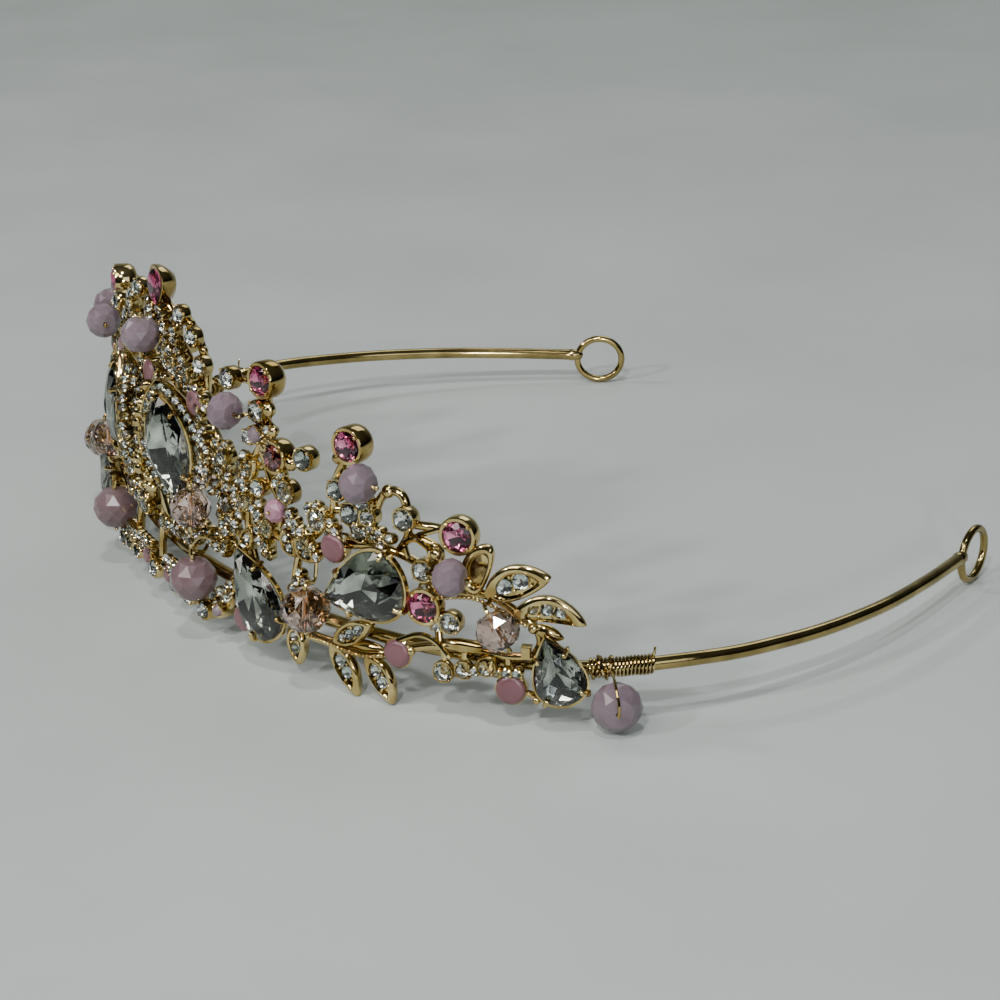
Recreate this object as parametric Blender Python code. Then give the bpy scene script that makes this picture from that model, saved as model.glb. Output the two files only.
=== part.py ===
# Gilt tiara: a wire headband with three gilt castings, set stones and faceted beads.
# The front is laid out on a flat drawing. u runs along the band from the front centre, towards
# the wearer's left (+X), v runs up and d outwards from the middle of the band wire, all in mm.
# The drawing is bent round the band's front half oval, and everything is parented to one empty,
# which tips the tiara to the pose in which it rests on a table.
import math

import bpy
import bmesh
import numpy as np
from mathutils import Matrix, Vector

MM = 0.001

# Headband, mm
OVAL_HALF_WIDTH = 76.3
OVAL_DEPTH = 53.0
OVAL_CENTRE_Y = -50.0
ROD_RADIUS = 1.0
ROD_SIDES = 8
LOOP_WIRE_RADIUS = 0.7
LOOP_HALF_LENGTH = 4.4
LOOP_HALF_HEIGHT = 4.15
LOOP_CENTRE_AHEAD = 4.9
LOOP_CENTRE_DROP = 0.7
LOOP_STEPS = 12
LOOP_SIDES = 6
WRAP_START = 81.0
WRAP_LENGTH = 9.2
WRAP_STATIONS = 9
WRAP_SIDES = 6
WRAP_INNER_RADIUS = 1.4
WRAP_GROOVE = 1.6
WRAP_RIDGE = 1.75

# Castings, mm
STEM_RADIUS = 0.7
STEM_SIDES = 4
WIRE_SIDES = 5
STEM_DEPTH = 1.2
STEM_DEPTH_OVER_ROD = 2.0
SPUR_RADIUS = 0.55
GAP = 0.3
CUP_WALL = 0.5
LEAF_BACK = 1.3
FLAT_ANGLE_DEG = 3.0
BEAD_WIRE_RADIUS = 0.32
BEAD_HOLE_RADIUS = 0.7
ROUND_SIDES = 10
STONE_SIDES = 8

# Rest pose
REST_TILT_DEG = -2.692
REST_SHIFT_MM = (0.0, 50.685, 5.553)

# How the rod dips along the front: distance from the centre, height
ROD_DIP = ((0.0, -0.8), (73.0, -0.9), (81.0, -1.0), (90.0, -0.3), (96.0, 0.0), (103.0, 0.0))

# Arm behind the widest point: half width, y
ARM_PATH = (
    (76.3, -50.0), (75.9, -43.7), (75.0, -36.6), (73.1, -28.8),
    (70.1, -20.0), (65.2, -9.5), (60.0, 0.0),
)

# Pear stones a side: name, u, v, d, width, length, lean and turn in degrees
PEARS = (
    ("pear_front", 30.4, 1.0, 4.2, 10.0, 14.0, 0.0, 34.8),
    ("pear_middle", 50.2, 7.2, 4.2, 10.0, 14.0, 0.0, 112.0),
    ("pear_end", 77.2, -0.2, 4.0, 7.0, 10.0, 0.0, 20.4),
)

# Navette a side, leaning away from the front centre: name, u, v, d, width, length, lean, turn
NAVETTES = (("navette", 10.2, 17.5, 5.4, 8.5, 15.8, 20.0, 15.0),)
HALO_WIDTH = 1.2
HALO_DROP = 0.6

# Round pink stones a side: name, u, v, d of the widest line, radius
PINKS = (
    ("pink_peak", 29.8, 32.1, 2.2, 2.1),
    ("pink_inner", 32.6, 21.6, 2.4, 1.9),
    ("pink_third", 46.5, 26.5, 2.4, 2.1),
    ("pink_fourth", 63.4, 16.9, 2.4, 2.1),
    ("pink_low", 58.8, 6.0, 2.8, 2.1),
)

# Pink teardrop at the top of the crest: name, u, v, d, width, length, lean, turn
CREST_STONE = ("pink_crest", 0.0, 38.8, 2.2, 4.6, 5.4, 0.0, 180.0)

# Beads: name, u, v, d, radius, half thickness, side that its wire comes from (0 +u, 90 +v, ...)
SIDE_BEADS = (
    ("lilac_peak", 25.0, 27.0, 4.6, 2.8, 2.2, 0.0),
    ("lilac_third", 50.0, 22.5, 4.6, 2.9, 2.3, 180.0),
    ("lilac_fourth", 63.4, 11.8, 4.6, 2.75, 2.2, 180.0),
    ("peach_middle", 41.3, 2.1, 4.9, 3.7, 2.9, 90.0),
    ("peach_end", 69.8, 5.3, 4.6, 3.2, 2.6, 120.0),
)
CENTRE_BEADS = (
    ("peach_front", 16.9, 10.3, 5.4, 3.1, 2.7, 270.0),
    ("rose", 16.4, -1.0, 4.9, 3.6, 3.0, 90.0),
)
CREST_BEAD = ("lilac_crest", 0.0, 31.8, 4.6, 3.1, 2.5, 270.0)
HANGING_BEAD = ("lilac_hanging", 84.8, -4.9, 4.0, 3.6, 2.6)

# Stones fused into the castings: shape, u, v, d of the face, radius
SIDE_FUSED = (
    ("clear", 22.6, 30.8, 3.0, 1.6),
    ("clear", 38.9, 23.0, 3.0, 1.7),
    ("clear", 47.2, 17.0, 3.0, 1.7),
    ("clear", 55.7, 18.0, 3.0, 1.7),
    ("clear", 62.6, 4.3, 3.0, 1.6),
    ("clear", 61.8, -2.9, 3.2, 1.5),
    ("cabochon", 44.4, 11.4, 3.4, 2.0),
    ("cabochon", 55.0, -1.6, 3.4, 2.0),
    ("cabochon", 71.2, -3.9, 3.4, 2.05),
    ("cabochon", 26.3, -4.4, 3.6, 1.9),
    ("bead", 33.4, 14.0, 4.0, 1.8),
    ("bead", 73.0, 2.0, 2.8, 1.1),
)
CENTRE_FUSED = (
    ("clear", 8.6, 36.6, 2.2, 1.5),
    ("clear", 12.4, 34.2, 2.2, 1.5),
    ("clear", 15.0, 30.6, 2.2, 1.5),
    ("clear", 22.0, 12.0, 3.0, 1.6),
    ("clear", 16.9, -6.2, 4.0, 1.45),
    ("clear", 5.8, 30.2, 3.2, 1.6),
    ("clear", 10.6, 29.0, 3.2, 1.6),
    ("cabochon", 14.9, 25.3, 3.8, 1.9),
)
CREST_FUSED = (
    ("cabochon", 0.0, 26.0, 4.0, 1.8),
    ("clear", 0.0, -5.4, 4.0, 1.5),
    ("clear", 0.0, 21.8, 3.4, 1.5),
    ("clear", 0.0, 10.6, 3.4, 1.5),
    ("clear", 0.0, 16.2, 3.4, 1.7),
)

# Leaves: kind, u and v of the root, u and v of the tip, d of the face, width, sideways bend
SIDE_LEAVES = (
    ("plain", 36.5, -2.0, 37.6, -8.3, 2.8, 3.6, 0.0),
    ("set", 43.4, -2.8, 48.5, -10.0, 2.8, 3.8, -0.4),
    ("set", 49.5, -3.0, 54.3, -9.7, 2.8, 3.8, -0.4),
    ("plain", 44.2, -2.6, 51.1, 1.9, 3.2, 3.4, 0.0),
    ("plain", 46.4, -2.6, 52.6, -2.0, 2.5, 2.0, 0.0),
    ("set", 67.0, 8.8, 76.3, 12.7, 2.8, 5.0, -0.8),
    ("set", 70.6, 7.0, 81.1, 6.2, 2.8, 3.8, -1.5),
    ("plain", 73.4, 5.2, 78.0, 3.8, 2.5, 2.2, 0.0),
    ("set", 65.3, 8.6, 67.8, 16.4, 2.7, 4.2, -0.6),
    ("plain", 60.6, 1.2, 69.0, 1.5, 2.7, 2.2, 0.3),
    ("plain", 24.8, 16.4, 28.8, 20.2, 2.6, 3.0, 0.3),
    ("plain", 25.6, 6.0, 28.4, 10.2, 3.2, 3.0, 0.3),
    ("plain", 34.8, 11.8, 37.8, 8.2, 3.2, 3.0, 0.3),
    ("plain", 37.2, 11.4, 41.4, 8.4, 3.2, 3.0, 0.3),
)
CENTRE_LEAVES = (
    ("set", 6.6, 33.8, 17.6, 23.4, 2.8, 4.6, 0.8),
    ("plain", 1.2, 9.0, 6.4, 3.0, 3.2, 3.0, 0.4),
    ("plain", 17.4, 20.8, 21.0, 14.0, 2.8, 3.0, 0.4),
)

# Stems of a side casting: points u, v, d
SIDE_STEMS = (
    ((25.2, 0.6, 2.1), (33.0, -0.6, 2.0), (37.0, -1.8, 2.0), (40.0, -2.9, 2.0), (44.5, -3.0, 2.0),
     (49.0, -3.3, 2.0), (53.0, -2.4, 2.0), (57.0, -0.6, 2.0), (61.0, 0.6, 2.0), (66.0, 0.9, 2.0),
     (70.5, 0.6, 2.0), (74.0, 0.9, 2.0), (77.0, 0.2, 2.0), (80.5, -0.3, 2.05)),
    ((31.0, -0.3, 2.0), (27.2, 4.6, 1.3), (25.7, 9.0, 1.2), (25.4, 13.5, 1.2), (25.8, 18.0, 1.2),
     (28.4, 22.0, 1.0), (29.9, 27.0, 0.8), (29.8, 32.0, 0.7)),
    ((25.8, 18.0, 1.2), (29.5, 19.4, 1.2), (32.6, 21.6, 1.0), (35.8, 22.0, 1.2), (39.0, 23.0, 1.3)),
    ((40.0, -2.9, 2.0), (36.8, 0.6, 2.0), (36.0, 5.0, 1.2), (37.4, 9.5, 1.2), (40.6, 12.6, 1.2),
     (43.2, 16.4, 1.2), (43.6, 20.6, 1.2), (46.5, 26.3, 1.0)),
    ((25.7, 9.0, 1.2), (31.0, 9.6, 1.2), (37.4, 9.5, 1.2), (44.4, 11.4, 1.2), (49.5, 12.6, 1.2),
     (54.1, 12.5, 1.2), (58.4, 11.0, 1.2), (59.6, 8.4, 1.2), (58.8, 6.0, 1.2), (60.4, 3.0, 1.4),
     (61.0, 0.6, 2.0)),
    ((43.2, 16.4, 1.2), (47.2, 17.0, 1.2), (50.1, 17.2, 1.2), (50.9, 19.4, 0.6), (52.6, 21.1, 0.8),
     (54.8, 20.8, 1.2), (55.7, 18.0, 1.2), (55.6, 15.2, 1.2), (54.1, 12.5, 1.2)),
    ((55.8, 17.0, 1.2), (59.6, 17.2, 1.2), (63.4, 16.9, 1.0)),
    ((55.6, 15.2, 1.2), (58.4, 15.0, 1.2), (60.5, 13.9, 1.2), (60.0, 11.4, 0.8), (59.6, 8.4, 1.2)),
    ((28.4, 22.0, 1.0), (31.0, 17.6, 1.2), (33.4, 14.0, 1.2), (31.6, 9.6, 1.2)),
    ((59.6, 8.4, 1.2), (65.0, 8.9, 1.6), (68.0, 8.8, 1.6), (71.0, 7.3, 1.6), (73.9, 5.2, 1.6),
     (74.8, 3.0, 1.6), (74.0, 0.9, 2.0)),
    ((70.5, 0.6, 2.0), (70.8, -1.8, 2.0), (71.2, -3.9, 2.0)),
)

# Stems of the centre casting: those of one side, then the two on the middle line
CENTRE_STEMS = (
    ((-0.6, 8.0, 1.2), (5.0, 5.6, 1.2), (10.4, 4.2, 1.2), (16.4, 5.8, 1.0), (21.4, 6.0, 1.2),
     (23.2, 3.4, 1.4), (23.4, 0.4, 2.0), (22.6, -3.0, 2.0), (20.8, -5.0, 2.0)),
    ((-0.5, 9.0, 1.2), (5.4, 11.0, 1.2), (9.0, 15.0, 1.2), (9.0, 22.0, 1.2), (6.6, 27.0, 1.2),
     (5.8, 30.2, 1.2), (5.4, 34.4, 0.8), (-0.4, 37.4, 0.7)),
    ((21.4, 5.6, 1.2), (22.0, 12.0, 1.2), (20.4, 18.0, 1.2), (17.0, 21.4, 1.2),
     (14.9, 25.3, 1.2), (14.8, 29.6, 0.9), (12.2, 33.4, 0.6), (8.6, 35.8, 0.6), (4.0, 36.2, 0.7)),
    ((8.2, 14.2, 1.2), (14.2, 15.8, 1.3), (21.8, 14.2, 1.2)),
    ((6.2, 27.6, 1.2), (10.6, 29.0, 1.2), (15.0, 28.0, 1.0)),
    ((10.2, 4.8, 1.3), (11.0, -0.9, 2.0), (11.2, -5.6, 2.0)),
)
SPINE = (
    (0.0, -6.0, 2.0), (0.0, -0.8, 2.0), (0.0, 8.0, 1.2), (0.0, 16.0, 1.2), (0.0, 26.0, 1.2),
    (0.0, 32.0, 0.7), (0.0, 38.0, 0.7),
)
LOWER_STEM = (
    (-21.4, -4.6, 2.0), (-16.7, -6.0, 2.0), (-11.5, -5.2, 2.0), (-5.0, -5.0, 2.0),
    (5.0, -5.0, 2.0), (11.5, -5.2, 2.0), (16.7, -6.0, 2.0), (21.4, -4.6, 2.0),
)

# Half outlines as fractions of half the width and half the length, from the tip to the other end
PEAR_HALF = ((0.0, 1.0), (0.36, 0.64), (0.70, 0.28), (0.95, -0.08), (0.97, -0.47), (0.62, -0.85))
PEAR_END = (0.0, -1.0)
POINTED_HALF = ((0.0, 1.0), (0.54, 0.72), (0.88, 0.38), (1.0, 0.0), (0.88, -0.38), (0.54, -0.72))
LEAF_HALF = ((0.0, 1.0), (0.72, 0.52), (1.0, -0.08), (0.70, -0.64))
POINTED_END = (0.0, -1.0)

# Heights in mm from the widest line of a cut stone, with the outline's scale there
CUT_STONE = ((0.12, -2.2), (1.0, -0.1), (0.58, 1.5))
SMALL_CUT = ((0.12, -1.35), (1.0, -0.1), (0.56, 0.75))
NARROW_STONE = 5.0

GILT = (0.83, 0.62, 0.26)
CLEAR = (0.80, 0.86, 0.84)
PINK = (0.80, 0.16, 0.36)
LILAC = (0.66, 0.56, 0.68)
ROSE = (0.72, 0.50, 0.55)
PEACH = (0.86, 0.66, 0.60)

# Distance along the front half oval, worked out in small steps from the front centre
OVAL_STEPS = np.linspace(0.0, 0.5 * math.pi, 4001)
OVAL_X = OVAL_HALF_WIDTH * np.sin(OVAL_STEPS)
OVAL_Y = OVAL_CENTRE_Y - OVAL_DEPTH * np.cos(OVAL_STEPS)
OVAL_RUN = np.concatenate(([0.0], np.cumsum(np.hypot(np.diff(OVAL_X), np.diff(OVAL_Y)))))
QUARTER = float(OVAL_RUN[-1])


def clear_scene():
    """Removes every object of the start scene."""
    for old in list(bpy.data.objects):
        bpy.data.objects.remove(old, do_unlink=True)


def gloss(name, colour, metal, rough, glass=0.0):
    """A Principled material with the given base colour."""
    material = bpy.data.materials.new(name)
    material.use_nodes = True
    shader = material.node_tree.nodes["Principled BSDF"]
    shader.inputs["Base Color"].default_value = (*colour, 1.0)
    shader.inputs["Metallic"].default_value = metal
    shader.inputs["Roughness"].default_value = rough
    shader.inputs["Transmission Weight"].default_value = glass
    return material


def wall_point(u):
    """The band's point at distance u from the front centre, with its outward direction."""
    side = -1.0 if u < 0.0 else 1.0
    angle = float(np.interp(abs(u), OVAL_RUN, OVAL_STEPS))
    out = Vector((math.sin(angle) / OVAL_HALF_WIDTH, -math.cos(angle) / OVAL_DEPTH, 0.0))
    out.normalize()
    x = OVAL_HALF_WIDTH * math.sin(angle)
    y = OVAL_CENTRE_Y - OVAL_DEPTH * math.cos(angle)
    return Vector((side * x, y, 0.0)), Vector((side * out.x, out.y, 0.0))


def spot(u, v, d):
    """A point of the flat drawing, bent round the band, in mm."""
    base, out = wall_point(u)
    return base + out * d + Vector((0.0, 0.0, v))


def seat(u, v, d, turn=0.0, lean=0.0):
    """Placement at a point of the drawing: x along the band, y up, z outwards. A lean swings z
    towards x, and the turn about z comes last."""
    base, out = wall_point(u)
    up = Vector((0.0, 0.0, 1.0))
    along = up.cross(out)
    place = Matrix((along, up, out)).transposed().to_4x4()
    place.translation = base + out * d + up * v
    leant = place @ Matrix.Rotation(math.radians(lean), 4, "Y")
    return leant @ Matrix.Rotation(math.radians(turn), 4, "Z")


def rod_height(u):
    """Height of the rod's middle at distance u from the front centre."""
    return float(np.interp(abs(u), [row[0] for row in ROD_DIP], [row[1] for row in ROD_DIP]))


def skin(mesh, rings, closed=False):
    """Joins rings of points into one closed body. A ring of one point makes a tip."""
    made = [[mesh.verts.new(point) for point in ring] for ring in rings]
    faces = []
    pairs = list(zip(made, made[1:]))
    if closed:
        pairs.append((made[-1], made[0]))
    for low, high in pairs:
        count = max(len(low), len(high))
        for i in range(count):
            j = (i + 1) % count
            corners = [low[i % len(low)], low[j % len(low)], high[j % len(high)], high[i % len(high)]]
            corners = list(dict.fromkeys(corners))
            faces.append(mesh.faces.new(corners))
    if not closed:
        if len(made[0]) > 1:
            faces.append(mesh.faces.new(list(reversed(made[0]))))
        if len(made[-1]) > 1:
            faces.append(mesh.faces.new(made[-1]))
    bmesh.ops.recalc_face_normals(mesh, faces=faces)


def lathe(mesh, place, profile, sides, closed=False):
    """Solid of revolution about the local z axis. Profile rows are radius and height."""
    rings = []
    for radius, height in profile:
        if radius == 0.0:
            rings.append([place @ Vector((0.0, 0.0, height))])
            continue
        ring = []
        for i in range(sides):
            angle = 2.0 * math.pi * (i + 0.5) / sides
            corner = Vector((radius * math.cos(angle), radius * math.sin(angle), height))
            ring.append(place @ corner)
        rings.append(ring)
    skin(mesh, rings, closed)


def full_outline(half, end):
    """Both halves of an outline, starting at the tip."""
    right = list(half[1:])
    left = [(-x, y) for x, y in reversed(right)]
    return [half[0]] + right + [end] + left


def outline_solid(mesh, place, outline, width, length, rows, grow=0.0, bend=0.0):
    """Stacks an outline at several heights. Rows are scale and height; grow widens it in mm."""
    rings = []
    for scale, height in rows:
        ring = []
        for x, y in outline:
            px = x * (0.5 * width * scale + grow)
            py = y * (0.5 * length * scale + grow)
            px += bend * (1.0 - y * y)
            ring.append(place @ Vector((px, py, height)))
        rings.append(ring)
    skin(mesh, rings)


def tube(mesh, points, radius, sides, closed=False, side=None):
    """Round wire through the points, in mm. The first flat of the wire can be given a direction."""
    rings = []
    count = len(points)
    for i, point in enumerate(points):
        before = points[(i - 1) % count] if closed or i > 0 else point
        after = points[(i + 1) % count] if closed or i < count - 1 else point
        ahead = (after - before).normalized()
        if side is None:
            side = Vector((0.0, 0.0, 1.0)) if abs(ahead.z) < 0.8 else Vector((1.0, 0.0, 0.0))
        side = (side - ahead * side.dot(ahead)).normalized()
        other = ahead.cross(side)
        ring = []
        for k in range(sides):
            angle = 2.0 * math.pi * (k + 0.5) / sides
            ring.append(point + side * (radius * math.cos(angle)) + other * (radius * math.sin(angle)))
        rings.append(ring)
    skin(mesh, rings, closed)


def finish(name, mesh, material, parent, place=None):
    """Turns a finished bmesh in mm into an object in metres, under the rest pose."""
    mesh.transform(Matrix.Scale(MM, 4))
    data = bpy.data.meshes.new(name)
    mesh.to_mesh(data)
    mesh.free()
    data.materials.append(material)
    made = bpy.data.objects.new(name, data)
    bpy.context.collection.objects.link(made)
    made.parent = parent
    if place is not None:
        made.location = place.translation * MM
        made.rotation_euler = place.to_euler()
    return made


def cut_or_join(target, helper, operation, solver):
    """Adds a Boolean and hides its helper. The exact solver also joins overlapping shells."""
    step = target.modifiers.new(operation.lower() + "_" + helper.name, "BOOLEAN")
    step.operation = operation
    step.solver = solver
    if solver == "EXACT":
        step.use_self = True
    step.object = helper
    helper.hide_render = True
    helper.display_type = "WIRE"


def merge_flat(target):
    """Merges neighbouring faces that lie almost in one plane."""
    step = target.modifiers.new("merge_flat", "DECIMATE")
    step.decimate_type = "DISSOLVE"
    step.angle_limit = math.radians(FLAT_ANGLE_DEG)


def mirrored(rows, side):
    """Stem points on the chosen side of the front centre."""
    return [(side * u, v, d) for u, v, d in rows]


def bead_profile(radius, half):
    """Outline of a faceted bead with its hole."""
    return (
        (BEAD_HOLE_RADIUS, -half), (0.78 * radius, -0.78 * half), (radius, 0.0),
        (0.78 * radius, 0.78 * half), (BEAD_HOLE_RADIUS, half),
    )


def bead_place(u, v, d, wire_side):
    """Placement of a bead whose hole lies in the wall, with local z towards its wire."""
    flat = seat(u, v, d, wire_side)
    return flat @ Matrix.Rotation(math.radians(90.0), 4, "Y")


def nearest_on(stems, u, v):
    """The stem point nearest to a place on the drawing."""
    best = None
    for stem in stems:
        for a, b in zip(stem, stem[1:]):
            run = Vector((b[0] - a[0], b[1] - a[1]))
            share = Vector((u - a[0], v - a[1])).dot(run) / max(run.length_squared, 1e-9)
            share = min(1.0, max(0.0, share))
            point = [a[k] + (b[k] - a[k]) * share for k in range(3)]
            away = math.hypot(u - point[0], v - point[1])
            if best is None or away < best[0]:
                best = (away, point)
    return best


def stem_depth(v):
    """Depth of a short stem: over the band's rod it runs further out."""
    return STEM_DEPTH_OVER_ROD if -3.6 < v < 1.9 else STEM_DEPTH


def add_spur(mesh, stems, u, v, reach):
    """Short stem from the nearest long stem to a setting, when they do not meet already."""
    away, point = nearest_on(stems, u, v)
    if away < reach:
        return
    tube(mesh, [spot(*point), spot(u, v, stem_depth(v))], SPUR_RADIUS, STEM_SIDES)


def add_fused(mesh, kind, u, v, face, radius):
    """A small stone and its setting, made as one lump."""
    back = stem_depth(v) - 0.5
    place = seat(u, v, 0.0)
    if kind == "clear":
        rows = ((0.8 * radius, back), (radius, face - 0.7), (0.56 * radius, face))
        lathe(mesh, place, rows, STONE_SIDES)
    elif kind == "cabochon":
        rows = ((0.85 * radius, back), (radius + 0.2, face - 0.6), (0.6 * radius, face))
        lathe(mesh, place, rows, ROUND_SIDES)
    else:
        middle = 0.5 * (back + face)
        rows = ((0.5 * radius, back), (radius, middle), (0.5 * radius, face))
        lathe(mesh, place, rows, STONE_SIDES)


def add_leaf(mesh, side, row):
    """A leaf blade with a raised rim round a sunk floor."""
    kind, u0, v0, u1, v1, face, width, bend = row
    length = math.hypot(u1 - u0, v1 - v0)
    turn = math.degrees(math.atan2(-(u1 - u0), v1 - v0)) * side
    place = seat(side * 0.5 * (u0 + u1), 0.5 * (v0 + v1), 0.0, turn)
    outline = full_outline(LEAF_HALF, POINTED_END)
    back = LEAF_BACK
    if kind == "set":
        rows = ((0.9, back), (1.0, face), (0.74, face), (0.70, face - 0.35))
    else:
        rows = ((1.0, back), (0.7, face))
    outline_solid(mesh, place, outline, width, length, rows, 0.0, side * bend)


def add_cup(mesh, place, outline, width, length, depth, halo):
    """A solid plug under a cut stone; the stone's own seat is cut out of it later. A halo makes
    it wider and a little lower, for the tiny stones that lie round a navette."""
    drop, wider = (HALO_DROP, HALO_WIDTH) if halo else (0.0, 0.0)
    rows = ((0.45, -depth), (1.0, -0.45 - drop))
    outline_solid(mesh, place, outline, width, length, rows, CUP_WALL + GAP + wider)


def stone_cut(width):
    """Heights of a fancy stone: only the narrow one at the top of the crest is shallow."""
    return SMALL_CUT if width < NARROW_STONE else CUT_STONE


def cut_shape(mesh, place, outline, width, length, rows, grow):
    """Seat of a cut stone: the stone grown by the gap and carried straight out to the front."""
    grown = [(scale, height - grow) for scale, height in rows[:2]]
    grown.append((1.0, rows[-1][1] + 3.0))
    outline_solid(mesh, place, outline, width, length, grown, grow)


def round_outline(sides):
    """A circle as an outline."""
    angles = [2.0 * math.pi * (i + 0.5) / sides for i in range(sides)]
    return [(math.sin(a), math.cos(a)) for a in angles]


def bead_seat(mesh, u, v, d, radius, half, wire_side):
    """Room round a bead."""
    r = 1.06 * (radius + GAP)
    h = half + GAP
    rows = ((0.84 * r, -h), (r, 0.0), (0.84 * r, h))
    lathe(mesh, bead_place(u, v, d, wire_side), rows, STONE_SIDES)


def bead_wire(mesh, stems, u, v, d, half, wire_side):
    """Wire that leaves a stem, goes through the bead and ends in a small knob."""
    angle = math.radians(wire_side)
    reach = half + 0.9
    near = (u + reach * math.cos(angle), v + reach * math.sin(angle))
    _, root = nearest_on(stems, *near)
    far = half + 0.6
    end = spot(u - far * math.cos(angle), v - far * math.sin(angle), d)
    run = [spot(*root), spot(near[0], near[1], d), end]
    tube(mesh, run, BEAD_WIRE_RADIUS, WIRE_SIDES)


def make_casting(sides, stems, drops, pinks, beads, fused, leaves):
    """Shapes of one casting: its metal, the room for its stones and beads, and its bead wires."""
    body = bmesh.new()
    room = bmesh.new()
    wires = bmesh.new()
    for stem in stems:
        tube(body, [spot(*point) for point in stem], STEM_RADIUS, STEM_SIDES)
    for name, u, v, d, width, length, lean, turn, half, end in drops:
        outline = full_outline(half, end)
        place = seat(u, v, d, turn, lean)
        base = d - stem_depth(v) + 0.5
        add_cup(body, place, outline, width, length, base, name.startswith("navette"))
        add_spur(body, stems, u, v, 1.0)
        cut_shape(room, place, outline, width, length, stone_cut(width), GAP)
    for _, u, v, d, radius in pinks:
        place = seat(u, v, d)
        circle = round_outline(STONE_SIDES)
        rows = ((0.72, 0.3 - d), (1.0, 0.9 - d), (1.0, 0.1))
        outline_solid(body, place, circle, 2.0 * radius, 2.0 * radius, rows, CUP_WALL + GAP)
        add_spur(body, stems, u, v, 1.0)
        cut_shape(room, place, circle, 2.0 * radius, 2.0 * radius, SMALL_CUT, GAP)
    for kind, u, v, face, radius in fused:
        add_fused(body, kind, u, v, face, radius)
        add_spur(body, stems, u, v, 1.0)
    for side in sides:
        for row in leaves:
            add_leaf(body, side, row)
            add_spur(body, stems, side * row[1], row[2], 0.7)
    for _, u, v, d, radius, half, wire_side in beads:
        bead_seat(room, u, v, d, radius, half, wire_side)
        bead_wire(wires, stems, u, v, d, half, wire_side)
    return body, room, wires


def side_rows(rows, side):
    """Copies table rows for one side of the front centre, with names for wearer's left or right."""
    ending = "_left" if side > 0 else "_right"
    copies = []
    for row in rows:
        copies.append((row[0] + ending, side * row[1]) + tuple(row[2:]))
    return copies


def turned(rows, side):
    """Copies rows that end in a lean and a turn, mirrored with their side."""
    return [row[:-2] + (side * row[-2], side * row[-1]) for row in side_rows(rows, side)]


def swung(rows, side):
    """Copies bead rows, with the wire's side mirrored too."""
    copies = []
    for row in side_rows(rows, side):
        swing = row[-1] if side > 0 else 180.0 - row[-1]
        copies.append(row[:-1] + (swing,))
    return copies


def make_headband(gilt, pose):
    """The rod, with an eye loop at each end."""
    rod = bmesh.new()
    path = []
    for x, y in reversed(ARM_PATH[1:]):
        path.append(Vector((-x, y, 0.0)))
    front = np.linspace(-QUARTER, QUARTER, 37)
    for u in front:
        base, _ = wall_point(float(u))
        base.z = rod_height(float(u))
        path.append(base)
    for x, y in ARM_PATH[1:]:
        path.append(Vector((x, y, 0.0)))
    ends = []
    for end, before in ((path[0], path[1]), (path[-1], path[-2])):
        ahead = (end - before).normalized()
        ends.append((end.copy(), ahead))
    path[0] = path[0] + ends[0][1] * 0.3
    path[-1] = path[-1] + ends[1][1] * 0.3
    tube(rod, path, ROD_RADIUS, ROD_SIDES)
    loops = bmesh.new()
    for end, ahead in ends:
        centre = end + ahead * LOOP_CENTRE_AHEAD - Vector((0.0, 0.0, LOOP_CENTRE_DROP))
        ring = []
        for i in range(LOOP_STEPS):
            angle = 2.0 * math.pi * (i + 0.5) / LOOP_STEPS + math.pi
            across = LOOP_HALF_LENGTH * math.cos(angle)
            up = LOOP_HALF_HEIGHT * math.sin(angle)
            ring.append(centre + ahead * across + Vector((0.0, 0.0, up)))
        tube(loops, ring, LOOP_WIRE_RADIUS, LOOP_SIDES, True, -ahead)
    band = finish("headband", rod, gilt, pose)
    eyes = finish("headband_eyes", loops, gilt, pose)
    cut_or_join(band, eyes, "UNION", "EXACT")
    merge_flat(band)
    return band


def make_wrap(name, side, gilt, pose):
    """Close turns of thin wire round the rod, with the wire that carries the hanging bead."""
    mesh = bmesh.new()
    stations = WRAP_STATIONS
    rings = []
    inner = []
    for i in range(stations):
        u = WRAP_START + WRAP_LENGTH * i / (stations - 1)
        place = seat(side * u, rod_height(u), 0.0)
        radius = WRAP_RIDGE if i % 2 == 1 else WRAP_GROOVE
        outer_ring = []
        inner_ring = []
        for k in range(WRAP_SIDES):
            angle = 2.0 * math.pi * (k + 0.5) / WRAP_SIDES
            across = Vector((0.0, math.sin(angle), math.cos(angle)))
            outer_ring.append(place @ (across * radius))
            inner_ring.append(place @ (across * WRAP_INNER_RADIUS))
        rings.append(outer_ring)
        if i in (0, stations // 2, stations - 1):
            inner.append(inner_ring)
    skin(mesh, rings + list(reversed(inner)), True)
    _, u, v, d, radius, half = HANGING_BEAD
    hanger = bmesh.new()
    run = [
        spot(side * (u - 0.6), -0.6, 1.42), spot(side * (u - 0.5), -0.6, 4.3),
        spot(side * (u - 0.3), -1.4, 6.3), spot(side * u, -3.2, d + half + 1.0),
        spot(side * u, v + 0.3, d + half + 0.9), spot(side * u, v, d + half + 0.2),
        spot(side * u, v, d - half - 0.3),
    ]
    tube(hanger, run, BEAD_WIRE_RADIUS, WIRE_SIDES)
    wrap = finish(name, mesh, gilt, pose)
    wire = finish(name + "_hanger", hanger, gilt, pose)
    cut_or_join(wrap, wire, "UNION", "EXACT")
    return wrap


def make_cut_stone(name, place, outline, width, length, rows, material, pose):
    """A cut stone with table, crown, girdle and pavilion."""
    mesh = bmesh.new()
    outline_solid(mesh, Matrix.Identity(4), outline, width, length, rows)
    return finish(name, mesh, material, pose, place)


def make_bead(name, place, radius, half, material, pose):
    """A faceted bead drilled through."""
    mesh = bmesh.new()
    lathe(mesh, Matrix.Identity(4), bead_profile(radius, half), ROUND_SIDES, True)
    return finish(name, mesh, material, pose, place)


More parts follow.
